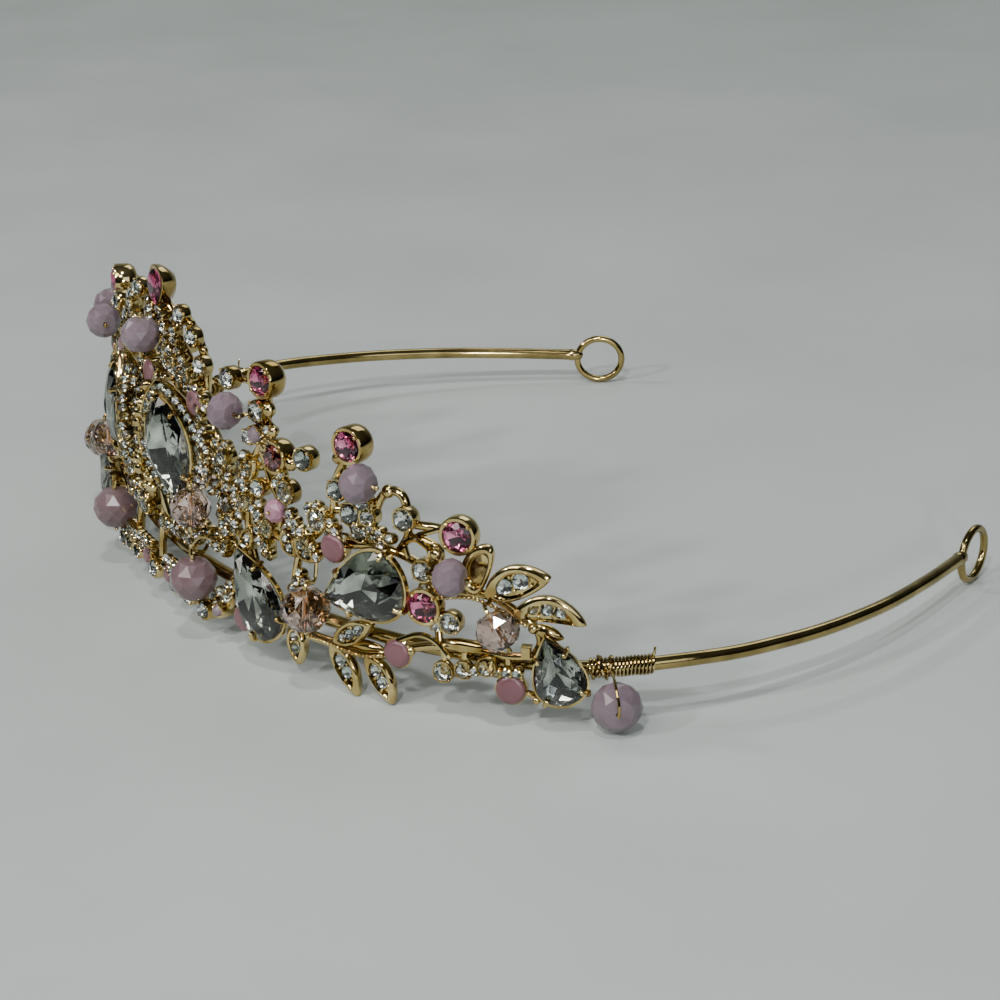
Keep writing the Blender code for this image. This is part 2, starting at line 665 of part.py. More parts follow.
def build():
    """Makes every piece of the tiara."""
    clear_scene()
    pose = bpy.data.objects.new("rest_pose", None)
    bpy.context.collection.objects.link(pose)
    pose.rotation_euler = (math.radians(REST_TILT_DEG), 0.0, 0.0)
    pose.location = [value * MM for value in REST_SHIFT_MM]
    gilt = gloss("gilt_metal", GILT, 1.0, 0.22)
    clear = gloss("clear_crystal", CLEAR, 0.0, 0.03, 0.6)
    pink = gloss("pink_crystal", PINK, 0.0, 0.05, 0.3)
    lilac = gloss("lilac_opal", LILAC, 0.0, 0.15)
    rose = gloss("rose_opal", ROSE, 0.0, 0.18)
    peach = gloss("peach_crystal", PEACH, 0.0, 0.06, 0.5)
    opals = {"lilac": lilac, "rose": rose, "peach": peach}

    make_headband(gilt, pose)
    for side, name in ((1.0, "left_wire_wrap"), (-1.0, "right_wire_wrap")):
        make_wrap(name, side, gilt, pose)

    castings = []
    for side, name in ((1.0, "left_casting"), (-1.0, "right_casting")):
        stems = [mirrored(stem, side) for stem in SIDE_STEMS]
        drops = [row + (PEAR_HALF, PEAR_END) for row in turned(PEARS, side)]
        pinks = side_rows(PINKS, side)
        beads = swung(SIDE_BEADS, side)
        fused = [(row[0], side * row[1]) + tuple(row[2:]) for row in SIDE_FUSED]
        castings.append((name, (side,), stems, drops, pinks, beads, fused, SIDE_LEAVES))

    stems = [SPINE, LOWER_STEM]
    drops = [CREST_STONE + (PEAR_HALF, PEAR_END)]
    beads = [CREST_BEAD]
    fused = list(CREST_FUSED)
    for side in (1.0, -1.0):
        stems += [mirrored(stem, side) for stem in CENTRE_STEMS]
        drops += [row + (POINTED_HALF, POINTED_END) for row in turned(NAVETTES, side)]
        beads += swung(CENTRE_BEADS, side)
        fused += [(row[0], side * row[1]) + tuple(row[2:]) for row in CENTRE_FUSED]
    castings.append(("centre_casting", (1.0, -1.0), stems, drops, [], beads, fused, CENTRE_LEAVES))

    for name, sides, stems, drops, pinks, beads, fused, leaves in castings:
        body, room, wires = make_casting(sides, stems, drops, pinks, beads, fused, leaves)
        casting = finish(name, body, gilt, pose)
        cut_or_join(casting, finish(name + "_room", room, gilt, pose), "DIFFERENCE", "EXACT")
        # The exact solver leaves small openings where these thin wires join, so this step
        # uses the manifold one.
        cut_or_join(casting, finish(name + "_wires", wires, gilt, pose), "UNION", "MANIFOLD")
        merge_flat(casting)
        for piece, u, v, d, width, length, lean, turn, half, end in drops:
            rows = stone_cut(width)
            colour = pink if rows is SMALL_CUT else clear
            place = seat(u, v, d, turn, lean)
            outline = full_outline(half, end)
            make_cut_stone(piece, place, outline, width, length, rows, colour, pose)
        for piece, u, v, d, radius in pinks:
            circle = round_outline(STONE_SIDES)
            size = 2.0 * radius
            make_cut_stone(piece, seat(u, v, d), circle, size, size, SMALL_CUT, pink, pose)
        for piece, u, v, d, radius, half, wire_side in beads:
            colour = opals[piece.split("_")[0]]
            make_bead(piece, bead_place(u, v, d, wire_side), radius, half, colour, pose)

    for side, ending in ((1.0, "_left"), (-1.0, "_right")):
        name, u, v, d, radius, half = HANGING_BEAD
        make_bead(name + ending, seat(side * u, v, d), radius, half, lilac, pose)


build()
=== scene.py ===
# Dresses the tiara: polished gilt castings, foiled crystals, opal beads and binding wire.
# The front is laid out on the flat drawing that the solids use. u runs along the band from the
# front centre towards the wearer's left (+X), v runs up and d outwards, all in mm. The drawing is
# bent round the front half oval and then tipped to the pose in which the tiara rests.
import math

import bpy
import bmesh
import numpy as np
from mathutils import Matrix, Vector


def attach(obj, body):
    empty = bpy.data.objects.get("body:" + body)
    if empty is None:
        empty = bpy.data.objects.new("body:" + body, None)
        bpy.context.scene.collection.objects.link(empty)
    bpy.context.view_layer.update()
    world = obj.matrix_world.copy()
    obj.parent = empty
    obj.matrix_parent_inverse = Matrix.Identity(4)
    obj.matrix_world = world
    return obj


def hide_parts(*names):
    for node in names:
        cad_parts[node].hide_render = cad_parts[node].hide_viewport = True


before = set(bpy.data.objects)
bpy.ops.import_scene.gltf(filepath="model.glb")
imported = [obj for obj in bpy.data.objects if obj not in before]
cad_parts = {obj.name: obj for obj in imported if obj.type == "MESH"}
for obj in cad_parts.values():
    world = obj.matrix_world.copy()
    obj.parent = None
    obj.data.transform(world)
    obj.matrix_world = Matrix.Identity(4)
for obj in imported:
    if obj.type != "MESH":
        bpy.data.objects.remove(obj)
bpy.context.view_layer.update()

MM = 0.001

# Headband, mm
OVAL_HALF_WIDTH = 76.3
OVAL_DEPTH = 53.0
OVAL_CENTRE_Y = -50.0
ROD_RADIUS = 1.0
LOOP_WIRE_RADIUS = 0.62
LOOP_HALF_LENGTH = 4.2
LOOP_HALF_HEIGHT = 3.97
LOOP_CENTRE_AHEAD = 4.9
LOOP_CENTRE_DROP = 0.7
ROD_DIP = ((0.0, -0.8), (73.0, -0.9), (81.0, -1.0), (90.0, -0.3), (96.0, 0.0), (103.0, 0.0))
ARM_PATH = (
    (76.3, -50.0), (75.9, -43.7), (75.0, -36.6), (73.1, -28.8),
    (70.1, -20.0), (65.2, -9.5), (60.0, 0.0),
)

# Rest pose
REST_TILT_DEG = -2.692
REST_SHIFT_MM = (0.0, 50.685, 5.553)

# Camera, placed on the untipped drawing: mm and radians
CAMERA_PLACE = (340.216, -226.643, 133.383)
CAMERA_YAW = 0.485774
CAMERA_PITCH = 0.340941
CAMERA_ROLL = 0.0196778
CAMERA_LENS = 90.09
CAMERA_SENSOR = 36.0

# Binding wire
WRAP_START = 81.2
WRAP_END = 90.0
WRAP_WIRE_RADIUS = 0.22
WRAP_RADIUS = 1.24
WRAP_PITCH = 0.5
BEAD_WIRE_RADIUS = 0.3
BEAD_TRIM = 0.02
STEM_RADIUS = 0.68
ARC_RADIUS = 0.42
SPUR_RADIUS = 0.5
CLAW_RADIUS = 0.34
GRAIN_RADIUS = 0.24
ROW_GRAIN_RADIUS = 0.34
KNOT_WIRE_RADIUS = 0.24
HANGER_WIRE_RADIUS = 0.2
TAIL_WIRE_RADIUS = 0.18
CUP_WALL = 0.5

# Fancy stones a side: name, u, v, d, width, length, lean and turn in degrees
PEARS = (
    ("pear_front", 30.4, 1.0, 4.2, 10.0, 14.0, 0.0, 34.8),
    ("pear_middle", 50.2, 7.2, 4.2, 10.0, 14.0, 0.0, 112.0),
    ("pear_end", 77.2, -0.2, 4.0, 7.0, 10.0, 0.0, 20.4),
)
NAVETTES = (("navette", 10.2, 17.5, 5.4, 8.5, 15.8, 20.0, 15.0),)
CREST_STONE = ("pink_crest", 0.0, 38.8, 2.2, 4.6, 5.4, 0.0, 180.0)

# Round pink stones a side: name, u, v, d of the widest line, radius
PINKS = (
    ("pink_peak", 29.8, 32.1, 2.2, 2.1),
    ("pink_inner", 32.6, 21.6, 2.4, 1.9),
    ("pink_third", 46.5, 26.5, 2.4, 2.1),
    ("pink_fourth", 63.4, 16.9, 2.4, 2.1),
    ("pink_low", 58.8, 6.0, 2.8, 2.1),
)

# Beads: name, u, v, d, radius, half thickness, side that its wire comes from (0 +u, 90 +v, ...)
SIDE_BEADS = (
    ("lilac_peak", 25.0, 27.0, 4.6, 2.8, 2.2, 0.0),
    ("lilac_third", 50.0, 22.5, 4.6, 2.9, 2.3, 180.0),
    ("lilac_fourth", 63.4, 11.8, 4.6, 2.75, 2.2, 180.0),
    ("peach_middle", 41.3, 2.1, 4.9, 3.7, 2.9, 90.0),
    ("peach_end", 69.8, 5.3, 4.6, 3.2, 2.6, 120.0),
)
CENTRE_BEADS = (
    ("peach_front", 16.9, 10.3, 5.4, 3.1, 2.7, 270.0),
    ("rose", 16.4, -1.0, 4.9, 3.6, 3.0, 90.0),
)
CREST_BEAD = ("lilac_crest", 0.0, 31.8, 4.6, 3.1, 2.5, 270.0)
HANGING_BEAD = ("lilac_hanging", 84.8, -4.9, 4.0, 3.6, 2.6)

# Small round clear stones in cups: u, v, d of the table, radius
SIDE_CLEARS = (
    (22.6, 30.8, 3.0, 1.6), (38.9, 23.0, 3.0, 1.7), (47.2, 17.0, 3.0, 1.7),
    (55.7, 18.0, 3.0, 1.7), (62.6, 4.3, 3.0, 1.6), (61.8, -2.9, 3.2, 1.5),
    (29.3, 27.6, 3.0, 1.6), (44.8, 19.9, 3.0, 1.6), (35.3, 17.2, 3.0, 1.7),
    (41.4, 14.8, 3.0, 1.7), (50.1, 17.2, 3.0, 1.3), (49.3, 18.8, 3.0, 1.2),
    (48.7, 14.6, 3.0, 1.4), (58.6, 11.2, 3.0, 1.6), (64.7, -2.1, 3.2, 1.3),
    (68.0, -0.8, 3.2, 1.4), (31.6, 11.0, 3.2, 1.2), (26.6, 13.4, 3.0, 1.3),
    (29.6, 16.4, 3.0, 1.3), (27.4, 23.4, 2.8, 1.2),
)
SIDE_LILAC_CHIPS = ((29.0, 24.1, 3.0, 1.4),)
CENTRE_CLEARS = (
    (8.6, 36.6, 2.2, 1.5), (12.4, 34.2, 2.2, 1.5), (15.0, 30.6, 2.2, 1.5),
    (22.0, 12.0, 3.0, 1.6), (16.9, -6.2, 4.0, 1.45), (5.8, 30.2, 3.2, 1.6),
    (10.6, 29.0, 3.2, 1.6), (19.4, 14.9, 3.0, 1.3), (21.4, 18.6, 2.6, 1.3),
    (4.2, 3.4, 3.6, 1.5), (8.4, 3.6, 3.4, 1.3), (12.0, 3.4, 3.2, 1.2),
    (8.0, -5.4, 3.6, 1.2), (12.4, -5.6, 3.6, 1.2),
)
CENTRE_LILAC_CHIPS = ((20.8, -4.9, 3.6, 1.1),)
CREST_CLEARS = (
    (0.0, -5.4, 4.0, 1.5), (0.0, 21.8, 3.4, 1.5), (0.0, 10.6, 3.4, 1.5), (0.0, 16.2, 3.4, 1.7),
)

# Salmon cabochons: u, v, d of the face, radius
SIDE_CABOCHONS = (
    (44.4, 11.4, 3.4, 2.0), (55.0, -1.6, 3.4, 2.0), (71.2, -3.9, 3.4, 2.05), (26.3, -4.4, 3.6, 1.9),
)
CENTRE_CABOCHONS = ((14.9, 25.3, 3.8, 1.9), (4.4, -4.9, 3.6, 1.2))
CREST_CABOCHONS = ((0.0, 26.0, 4.0, 1.8),)

# Small pink faceted bead: u, v, d of the face, radius
PINK_BEADS = ((33.4, 14.0, 4.0, 1.8),)

# Leaves: kind, u and v of the root, u and v of the tip, d of the face, width, sideways bend
SIDE_LEAVES = (
    ("set", 36.5, -2.0, 37.6, -8.3, 2.8, 3.6, 0.0),
    ("set", 43.4, -2.8, 48.5, -10.0, 2.8, 3.8, -0.4),
    ("set", 49.5, -3.0, 54.3, -9.7, 2.8, 3.8, -0.4),
    ("set", 44.2, -2.6, 51.1, 1.9, 3.2, 3.4, 0.0),
    ("plain", 46.4, -2.6, 52.6, -2.0, 2.5, 2.0, 0.0),
    ("set", 67.0, 8.8, 76.3, 12.7, 2.8, 5.0, -0.8),
    ("set", 70.6, 7.0, 81.1, 6.2, 2.8, 3.8, -1.5),
    ("plain", 73.4, 5.2, 78.0, 3.8, 2.5, 2.2, 0.0),
    ("hollow", 65.3, 8.6, 67.8, 16.4, 2.7, 4.2, -0.6),
    ("plain", 60.6, 1.2, 69.0, 1.5, 2.7, 2.2, 0.3),
    ("set", 24.8, 16.4, 28.8, 20.2, 2.6, 3.0, 0.3),
    ("set", 25.6, 6.0, 28.4, 10.2, 3.2, 3.0, 0.3),
    ("set", 34.8, 11.8, 37.8, 8.2, 3.2, 3.0, 0.3),
    ("set", 37.2, 11.4, 41.4, 8.4, 3.2, 3.0, 0.3),
)
CENTRE_LEAVES = (
    ("plain", 6.6, 33.8, 17.6, 23.4, 2.6, 4.6, 0.8),
    ("plain", 1.2, 9.0, 6.4, 3.0, 3.2, 3.0, 0.4),
    ("set", 17.4, 20.8, 21.0, 14.0, 2.8, 3.0, 0.4),
)

# Stems: points u, v, d
SIDE_STEMS = (
    ((25.2, 0.6, 2.1), (33.0, -0.6, 2.0), (37.0, -1.8, 2.0), (40.0, -2.9, 2.0), (44.5, -3.0, 2.0),
     (49.0, -3.3, 2.0), (53.0, -2.4, 2.0), (57.0, -0.6, 2.0), (61.0, 0.6, 2.0), (66.0, 0.9, 2.0),
     (70.5, 0.6, 2.0), (74.0, 0.9, 2.0), (77.0, 0.2, 2.0), (80.5, -0.3, 2.05)),
    ((31.0, -0.3, 2.0), (27.2, 4.6, 1.3), (25.7, 9.0, 1.2), (25.4, 13.5, 1.2), (25.8, 18.0, 1.2),
     (28.4, 22.0, 1.0), (29.9, 27.0, 0.8), (29.8, 32.0, 0.7)),
    ((25.8, 18.0, 1.2), (29.5, 19.4, 1.2), (32.6, 21.6, 1.0), (35.8, 22.0, 1.2), (39.0, 23.0, 1.3)),
    ((40.0, -2.9, 2.0), (36.8, 0.6, 2.0), (36.0, 5.0, 1.2), (37.4, 9.5, 1.2), (40.6, 12.6, 1.2),
     (43.2, 16.4, 1.2), (43.6, 20.6, 1.2), (46.5, 26.3, 1.0)),
    ((25.7, 9.0, 1.2), (31.0, 9.6, 1.2), (37.4, 9.5, 1.2), (44.4, 11.4, 1.2), (49.5, 12.6, 1.2),
     (54.1, 12.5, 1.2), (58.4, 11.0, 1.2), (59.6, 8.4, 1.2), (58.8, 6.0, 1.2), (60.4, 3.0, 1.4),
     (61.0, 0.6, 2.0)),
    ((43.2, 16.4, 1.2), (47.2, 17.0, 1.2), (50.1, 17.2, 1.2), (50.9, 19.4, 0.8), (52.6, 21.1, 0.9),
     (54.8, 20.8, 1.2), (55.7, 18.0, 1.2), (55.6, 15.2, 1.2), (54.1, 12.5, 1.2)),
    ((55.8, 17.0, 1.2), (59.6, 17.2, 1.2), (63.4, 16.9, 1.0)),
    ((55.6, 15.2, 1.2), (58.4, 15.0, 1.2), (60.5, 13.9, 1.2), (60.0, 11.4, 0.8), (59.6, 8.4, 1.2)),
    ((28.4, 22.0, 1.0), (31.0, 17.6, 1.2), (33.4, 14.0, 1.2), (31.6, 9.6, 1.2)),
    ((59.6, 8.4, 1.2), (65.0, 8.9, 1.6), (68.0, 8.8, 1.6), (71.0, 7.3, 1.6), (73.9, 5.2, 1.6),
     (74.8, 3.0, 1.6), (74.0, 0.9, 2.0)),
    ((70.5, 0.6, 2.0), (70.8, -1.8, 2.0), (71.2, -3.9, 2.0)),
)
CENTRE_STEMS = (
    ((-0.6, 8.0, 1.2), (5.0, 5.6, 1.2), (10.4, 4.2, 1.2), (16.4, 5.8, 1.0), (21.4, 6.0, 1.2),
     (23.2, 3.4, 1.4), (23.4, 0.4, 2.0), (22.6, -3.0, 2.0), (20.8, -5.0, 2.0)),
    ((-0.5, 9.0, 1.2), (5.4, 11.0, 1.2), (9.0, 15.0, 1.2), (9.0, 22.0, 1.2), (6.6, 27.0, 1.2),
     (5.8, 30.2, 1.2), (5.4, 34.4, 0.8), (-0.4, 37.4, 0.7)),
    ((21.4, 5.6, 1.2), (22.0, 12.0, 1.2), (20.4, 18.0, 1.2), (17.0, 21.4, 1.2),
     (14.9, 25.3, 1.2), (14.8, 29.6, 0.9), (12.2, 33.4, 0.6), (8.6, 35.8, 0.6), (4.0, 36.2, 0.7)),
    ((8.2, 14.2, 1.2), (14.2, 15.8, 1.3), (21.8, 14.2, 1.2)),
    ((6.2, 27.6, 1.2), (10.6, 29.0, 1.2), (15.0, 28.0, 1.0)),
    ((10.2, 4.8, 1.3), (11.0, -0.9, 2.0), (11.2, -5.6, 2.0)),
)
SPINE = (
    (0.0, -6.0, 2.0), (0.0, -0.8, 2.0), (0.0, 8.0, 1.2), (0.0, 16.0, 1.2), (0.0, 26.0, 1.2),
    (0.0, 32.0, 0.7), (0.0, 38.0, 0.7),
)
LOWER_STEM = (
    (-21.4, -4.6, 2.0), (-16.7, -6.0, 2.0), (-11.5, -5.2, 2.0), (-5.0, -5.0, 2.0),
    (5.0, -5.0, 2.0), (11.5, -5.2, 2.0), (16.7, -6.0, 2.0), (21.4, -4.6, 2.0),
)

# Rows of fine gilt grains laid on the stems: points u, v, d
SIDE_GRAIN_ROWS = (
    ((60.9, 7.9, 3.0), (65.6, 8.7, 3.0), (70.1, 7.4, 3.0), (73.3, 5.6, 3.0)),
    ((39.6, -3.0, 2.9), (44.5, -3.1, 2.9), (49.2, -3.3, 2.9), (53.0, -2.4, 2.9)),
)
# Smooth wire arcs on top of the stems: points u, v, d
SIDE_ARCS = (
    ((54.9, 0.2, 2.6), (58.2, 1.9, 2.8), (60.6, 1.5, 2.8), (62.6, -0.6, 2.6)),
    ((57.4, 15.8, 1.6), (61.3, 17.6, 1.6)),
    ((55.6, 14.6, 2.0), (57.4, 15.4, 2.2), (59.4, 14.2, 2.2), (58.8, 12.4, 2.2), (56.4, 12.3, 2.0),
     (55.6, 14.0, 2.0)),
)
CENTRE_ARCS = (
    ((12.8, 2.4, 3.0), (17.3, 5.6, 3.6), (21.3, 5.8, 3.0)),
)
# Small gilt balls and domes: u, v, d, radius
SIDE_BALLS = (
    (31.2, 28.2, 1.8, 1.2), (32.1, 25.2, 1.8, 0.9), (36.0, 21.5, 2.0, 1.1), (60.5, 13.9, 2.4, 0.95),
    (80.0, -2.0, 2.7, 0.7), (52.6, 21.1, 1.4, 1.0), (44.0, 24.0, 1.2, 0.9), (31.2, 7.1, 2.6, 0.8),
    (39.0, 12.1, 2.4, 0.8), (43.6, 14.0, 2.4, 0.8), (73.9, 5.2, 2.4, 0.8), (25.3, 17.8, 2.2, 0.8),
    (57.0, -0.9, 2.6, 0.7), (74.6, -5.2, 2.6, 0.6),
)
CENTRE_BALLS = (
    (21.7, 19.9, 1.8, 0.9), (18.8, 14.0, 2.4, 0.7), (23.6, 13.7, 1.8, 0.8), (2.6, 9.8, 2.0, 0.8),
    (10.6, 35.6, 1.2, 0.9), (14.0, 32.4, 1.0, 0.8), (14.4, -5.8, 2.8, 0.7),
)

# Channel that holds the tiny stones round a navette: how far outside the stone, height
HALO_CHANNEL = (
    (0.3, -0.5), (0.42, -0.45), (0.5, -0.7), (0.6, -1.5), (1.9, -1.5), (1.98, -0.75), (2.15, -0.68),
    (2.3, -0.9), (2.25, -1.7), (1.7, -2.6), (0.2, -3.4),
)

# Bed of one pave stone: radius, height
PAVE_BED = (
    (0.0, -1.5), (0.6, -1.3), (0.86, -0.8), (0.87, -0.05), (0.76, 0.07), (0.64, -0.03), (0.3, -0.44),
    (0.0, -0.54),
)
PAVE_STEP = 1.5
HALO_STONES = 28

# Pave fields: u and v of both ends of the middle line, width, d of the stones, lean in degrees
SIDE_PAVE = (
    (23.4, 8.4, 26.4, 19.4, 3.4, 2.7, 0.0),
    (28.6, 14.6, 31.0, 7.4, 3.2, 2.7, 0.0),
    (35.4, 14.4, 40.6, 9.4, 3.2, 2.8, 0.0),
    (40.0, 16.6, 45.0, 13.0, 2.6, 2.7, 0.0),
    (30.0, 25.6, 33.6, 18.2, 2.6, 2.4, 0.0),
    (38.2, 5.6, 36.6, 0.4, 2.4, 2.6, 0.0),
    (48.2, 16.0, 52.4, 14.4, 2.4, 2.6, 0.0),
    (60.6, 3.4, 58.4, 10.2, 1.6, 2.4, 0.0),
    (66.4, -1.8, 72.0, -1.4, 1.6, 2.9, 0.0),
)
CENTRE_PAVE = (
    (7.6, 33.4, 16.4, 24.2, 4.4, 3.3, 0.0),
    (16.4, 22.4, 17.6, 13.6, 3.4, 3.2, 0.0),
    (20.4, 20.4, 22.0, 8.4, 4.4, 2.6, 0.0),
    (3.4, 27.0, 2.8, 13.0, 3.2, 3.4, 0.0),
    (5.2, 30.2, 12.4, 28.0, 2.6, 3.4, 0.0),
    (3.0, -3.2, 13.4, -3.6, 3.0, 3.4, 0.0),
    (3.6, 4.2, 12.6, 3.8, 3.0, 3.0, 0.0),
    (12.6, 6.8, 21.4, 5.0, 2.6, 3.0, 0.0),
    (4.4, 10.6, 10.6, 8.4, 3.0, 3.2, 0.0),
    (18.4, -4.4, 22.6, -1.4, 2.6, 2.9, 0.0),
    (2.8, 36.0, 3.0, 28.4, 3.0, 2.4, 0.0),
    (4.3, 25.4, 3.7, 9.6, 1.4, 5.7, -50.0),
    (3.9, 25.0, 3.3, 9.6, 1.4, 4.4, -55.0),
    (3.7, 22.6, 3.4, 12.4, 1.4, 6.6, -70.0),
)

# Heights in mm over a cut stone's widest line: table, middle of the crown, lower mid, culet
CUT_HEIGHTS = (1.5, 1.0, -0.85, -1.25)
SMALL_HEIGHTS = (0.75, 0.48, -0.45, -0.66)

POSE = (
    Matrix.Scale(MM, 4)
    @ Matrix.Translation(REST_SHIFT_MM)
    @ Matrix.Rotation(math.radians(REST_TILT_DEG), 4, "X")
)
OVAL_STEPS = np.linspace(0.0, 0.5 * math.pi, 4001)
OVAL_X = OVAL_HALF_WIDTH * np.sin(OVAL_STEPS)
OVAL_Y = OVAL_CENTRE_Y - OVAL_DEPTH * np.cos(OVAL_STEPS)
OVAL_RUN = np.concatenate(([0.0], np.cumsum(np.hypot(np.diff(OVAL_X), np.diff(OVAL_Y)))))
QUARTER = float(OVAL_RUN[-1])


# Places on the drawing

def wall_point(u):
    """The band's point at distance u from the front centre, with its outward direction."""
    angle = math.copysign(float(np.interp(abs(u), OVAL_RUN, OVAL_STEPS)), u)
    x, y = math.sin(angle), -math.cos(angle)
    out = Vector((x / OVAL_HALF_WIDTH, y / OVAL_DEPTH, 0.0)).normalized()
    return Vector((OVAL_HALF_WIDTH * x, OVAL_CENTRE_Y + OVAL_DEPTH * y, 0.0)), out


def spot(u, v, d):
    """A point of the flat drawing, bent round the band, in mm."""
    base, out = wall_point(u)
    return base + out * d + Vector((0.0, 0.0, v))


def seat(u, v, d, turn=0.0, lean=0.0):
    """Placement at a point of the drawing: x along the band, y up, z outwards. A lean swings z
    towards x, and the turn about z comes last."""
    base, out = wall_point(u)
    up = Vector((0.0, 0.0, 1.0))
    along = up.cross(out)
    place = Matrix((along, up, out)).transposed().to_4x4()
    place.translation = base + out * d + up * v
    leant = place @ Matrix.Rotation(math.radians(lean), 4, "Y")
    return leant @ Matrix.Rotation(math.radians(turn), 4, "Z")


def rod_height(u):
    """Height of the rod's middle at distance u from the front centre."""
    return float(np.interp(abs(u), [row[0] for row in ROD_DIP], [row[1] for row in ROD_DIP]))


def stem_depth(v):
    """Depth of a short stem: over the band's rod it runs further out."""
    return 2.0 if -3.6 < v < 1.9 else 1.2


def smooth_run(points, step=0.8):
    """Points along a smooth curve through the given ones, about one step apart."""
    known = [Vector(point) for point in points]
    known = [known[0] * 2.0 - known[1]] + known + [known[-1] * 2.0 - known[-2]]
    run = []
    for a, b, c, e in zip(known, known[1:], known[2:], known[3:]):
        count = max(2, int((c - b).length / step))
        for k in range(count):
            t = k / count
            run.append(0.5 * (
                2.0 * b + (c - a) * t + (2.0 * a - 5.0 * b + 4.0 * c - e) * t * t
                + (3.0 * b - a - 3.0 * c + e) * t ** 3
            ))
    run.append(known[-2])
    return run


# Mesh shapes, all in mm on the untipped drawing

def wheel(count, shift=0.0):
    """Cosines and sines of evenly spaced angles. The first is shifted by a share of one step."""
    angles = [2.0 * math.pi * (i + shift) / count for i in range(count)]
    return [(math.cos(angle), math.sin(angle)) for angle in angles]


def skin(mesh, rings, closed=False):
    """Joins rings of points into one surface. A ring of one point makes a tip."""
    made = [[mesh.verts.new(point) for point in ring] for ring in rings]
    faces = []
    pairs = list(zip(made, made[1:]))
    if closed:
        pairs.append((made[-1], made[0]))
    for low, high in pairs:
        count = max(len(low), len(high))
        for i in range(count):
            j = (i + 1) % count
            corners = [low[i % len(low)], low[j % len(low)], high[j % len(high)], high[i % len(high)]]
            faces.append(mesh.faces.new(list(dict.fromkeys(corners))))
    if not closed:
        for ring in (made[0], made[-1]):
            if len(ring) > 2:
                faces.append(mesh.faces.new(ring))
    bmesh.ops.recalc_face_normals(mesh, faces=faces)


def tube(mesh, path, radius, sides=10, closed=False):
    """Round wire along a path, with rounded ends. The radius is one value or one for each point."""
    radii = radius if isinstance(radius, list) else [radius] * len(path)
    count = len(path)
    rings = []
    side = None
    for i, point in enumerate(path):
        before = path[(i - 1) % count] if closed or i > 0 else point
        after = path[(i + 1) % count] if closed or i < count - 1 else point
        ahead = (after - before).normalized()
        if side is None:
            side = Vector((0.0, 0.0, 1.0)) if abs(ahead.z) < 0.8 else Vector((1.0, 0.0, 0.0))
        side = (side - ahead * side.dot(ahead)).normalized()
        other = ahead.cross(side)
        rows = [(0.0, 1.0)]
        if not closed and i == 0:
            rows = [(-0.85, 0.4), (-0.5, 0.82), (0.0, 1.0)]
        if not closed and i == count - 1:
            rows = [(0.0, 1.0), (0.5, 0.82), (0.85, 0.4)]
        for shift, scale in rows:
            reach = radii[i] * scale
            middle = point + ahead * (radii[i] * shift)
            rings.append([middle + side * (reach * c) + other * (reach * s) for c, s in wheel(sides)])
    skin(mesh, rings, closed)


def wire(mesh, points, step, radius, sides=8):
    """A smooth wire through points of the drawing."""
    tube(mesh, [spot(*point) for point in smooth_run(points, step)], radius, sides)


def lathe(mesh, place, profile, sides):
    """Solid of revolution about the local z axis. Profile rows are radius and height."""
    rings = []
    for radius, height in profile:
        steps = wheel(1 if radius == 0.0 else sides)
        rings.append([place @ Vector((radius * c, radius * s, height)) for c, s in steps])
    skin(mesh, rings)


def ball(mesh, place, radius, flat=1.0):
    """A small cast ball, squashed along its local z axis when flat is under 1."""
    rows = []
    for i in range(7):
        angle = math.pi * i / 6
        rows.append((radius * math.sin(angle) if 0 < i < 6 else 0.0, -flat * radius * math.cos(angle)))
    lathe(mesh, place, rows, 12)


def pear(t):
    """Pear outline as fractions of half the width and half the length; the tip is at t = 0."""
    return 1.3 * math.sin(t) * math.sin(0.5 * t), math.cos(t)


def navette(t):
    """Pointed oval outline."""
    y = math.cos(t)
    return math.copysign((1.0 - y * y) ** 0.83, math.sin(t)), y


def circle(t):
    """Round outline."""
    return math.sin(t), math.cos(t)


def leaf(t):
    """Leaf outline, widest a little below its middle, with both ends pointed."""
    y = math.cos(t)
    return math.copysign((1.0 - y * y) ** 0.72, math.sin(t)) * (1.0 - 0.14 * y), y


def outline_points(outline, count, width, length, scale, grow=0.0, bend=0.0):
    """Points of an outline in mm, scaled about its middle, then widened by grow."""
    points = []
    for i in range(count):
        x, y = outline(2.0 * math.pi * i / count)
        px = x * (0.5 * width * scale + grow) + bend * (1.0 - y * y)
        py = y * (0.5 * length * scale + grow)
        points.append((px, py))
    return points


def outline_rings(place, outline, count, width, length, rows, grow=0.0, bend=0.0):
    """Rings of an outline at several heights. Rows are scale and height."""
    rings = []
    for scale, height in rows:
        flat = outline_points(outline, count, width, length, scale, grow, bend * min(1.0, scale + 0.1))
        rings.append([place @ Vector((x, y, height)) for x, y in flat])
    return rings


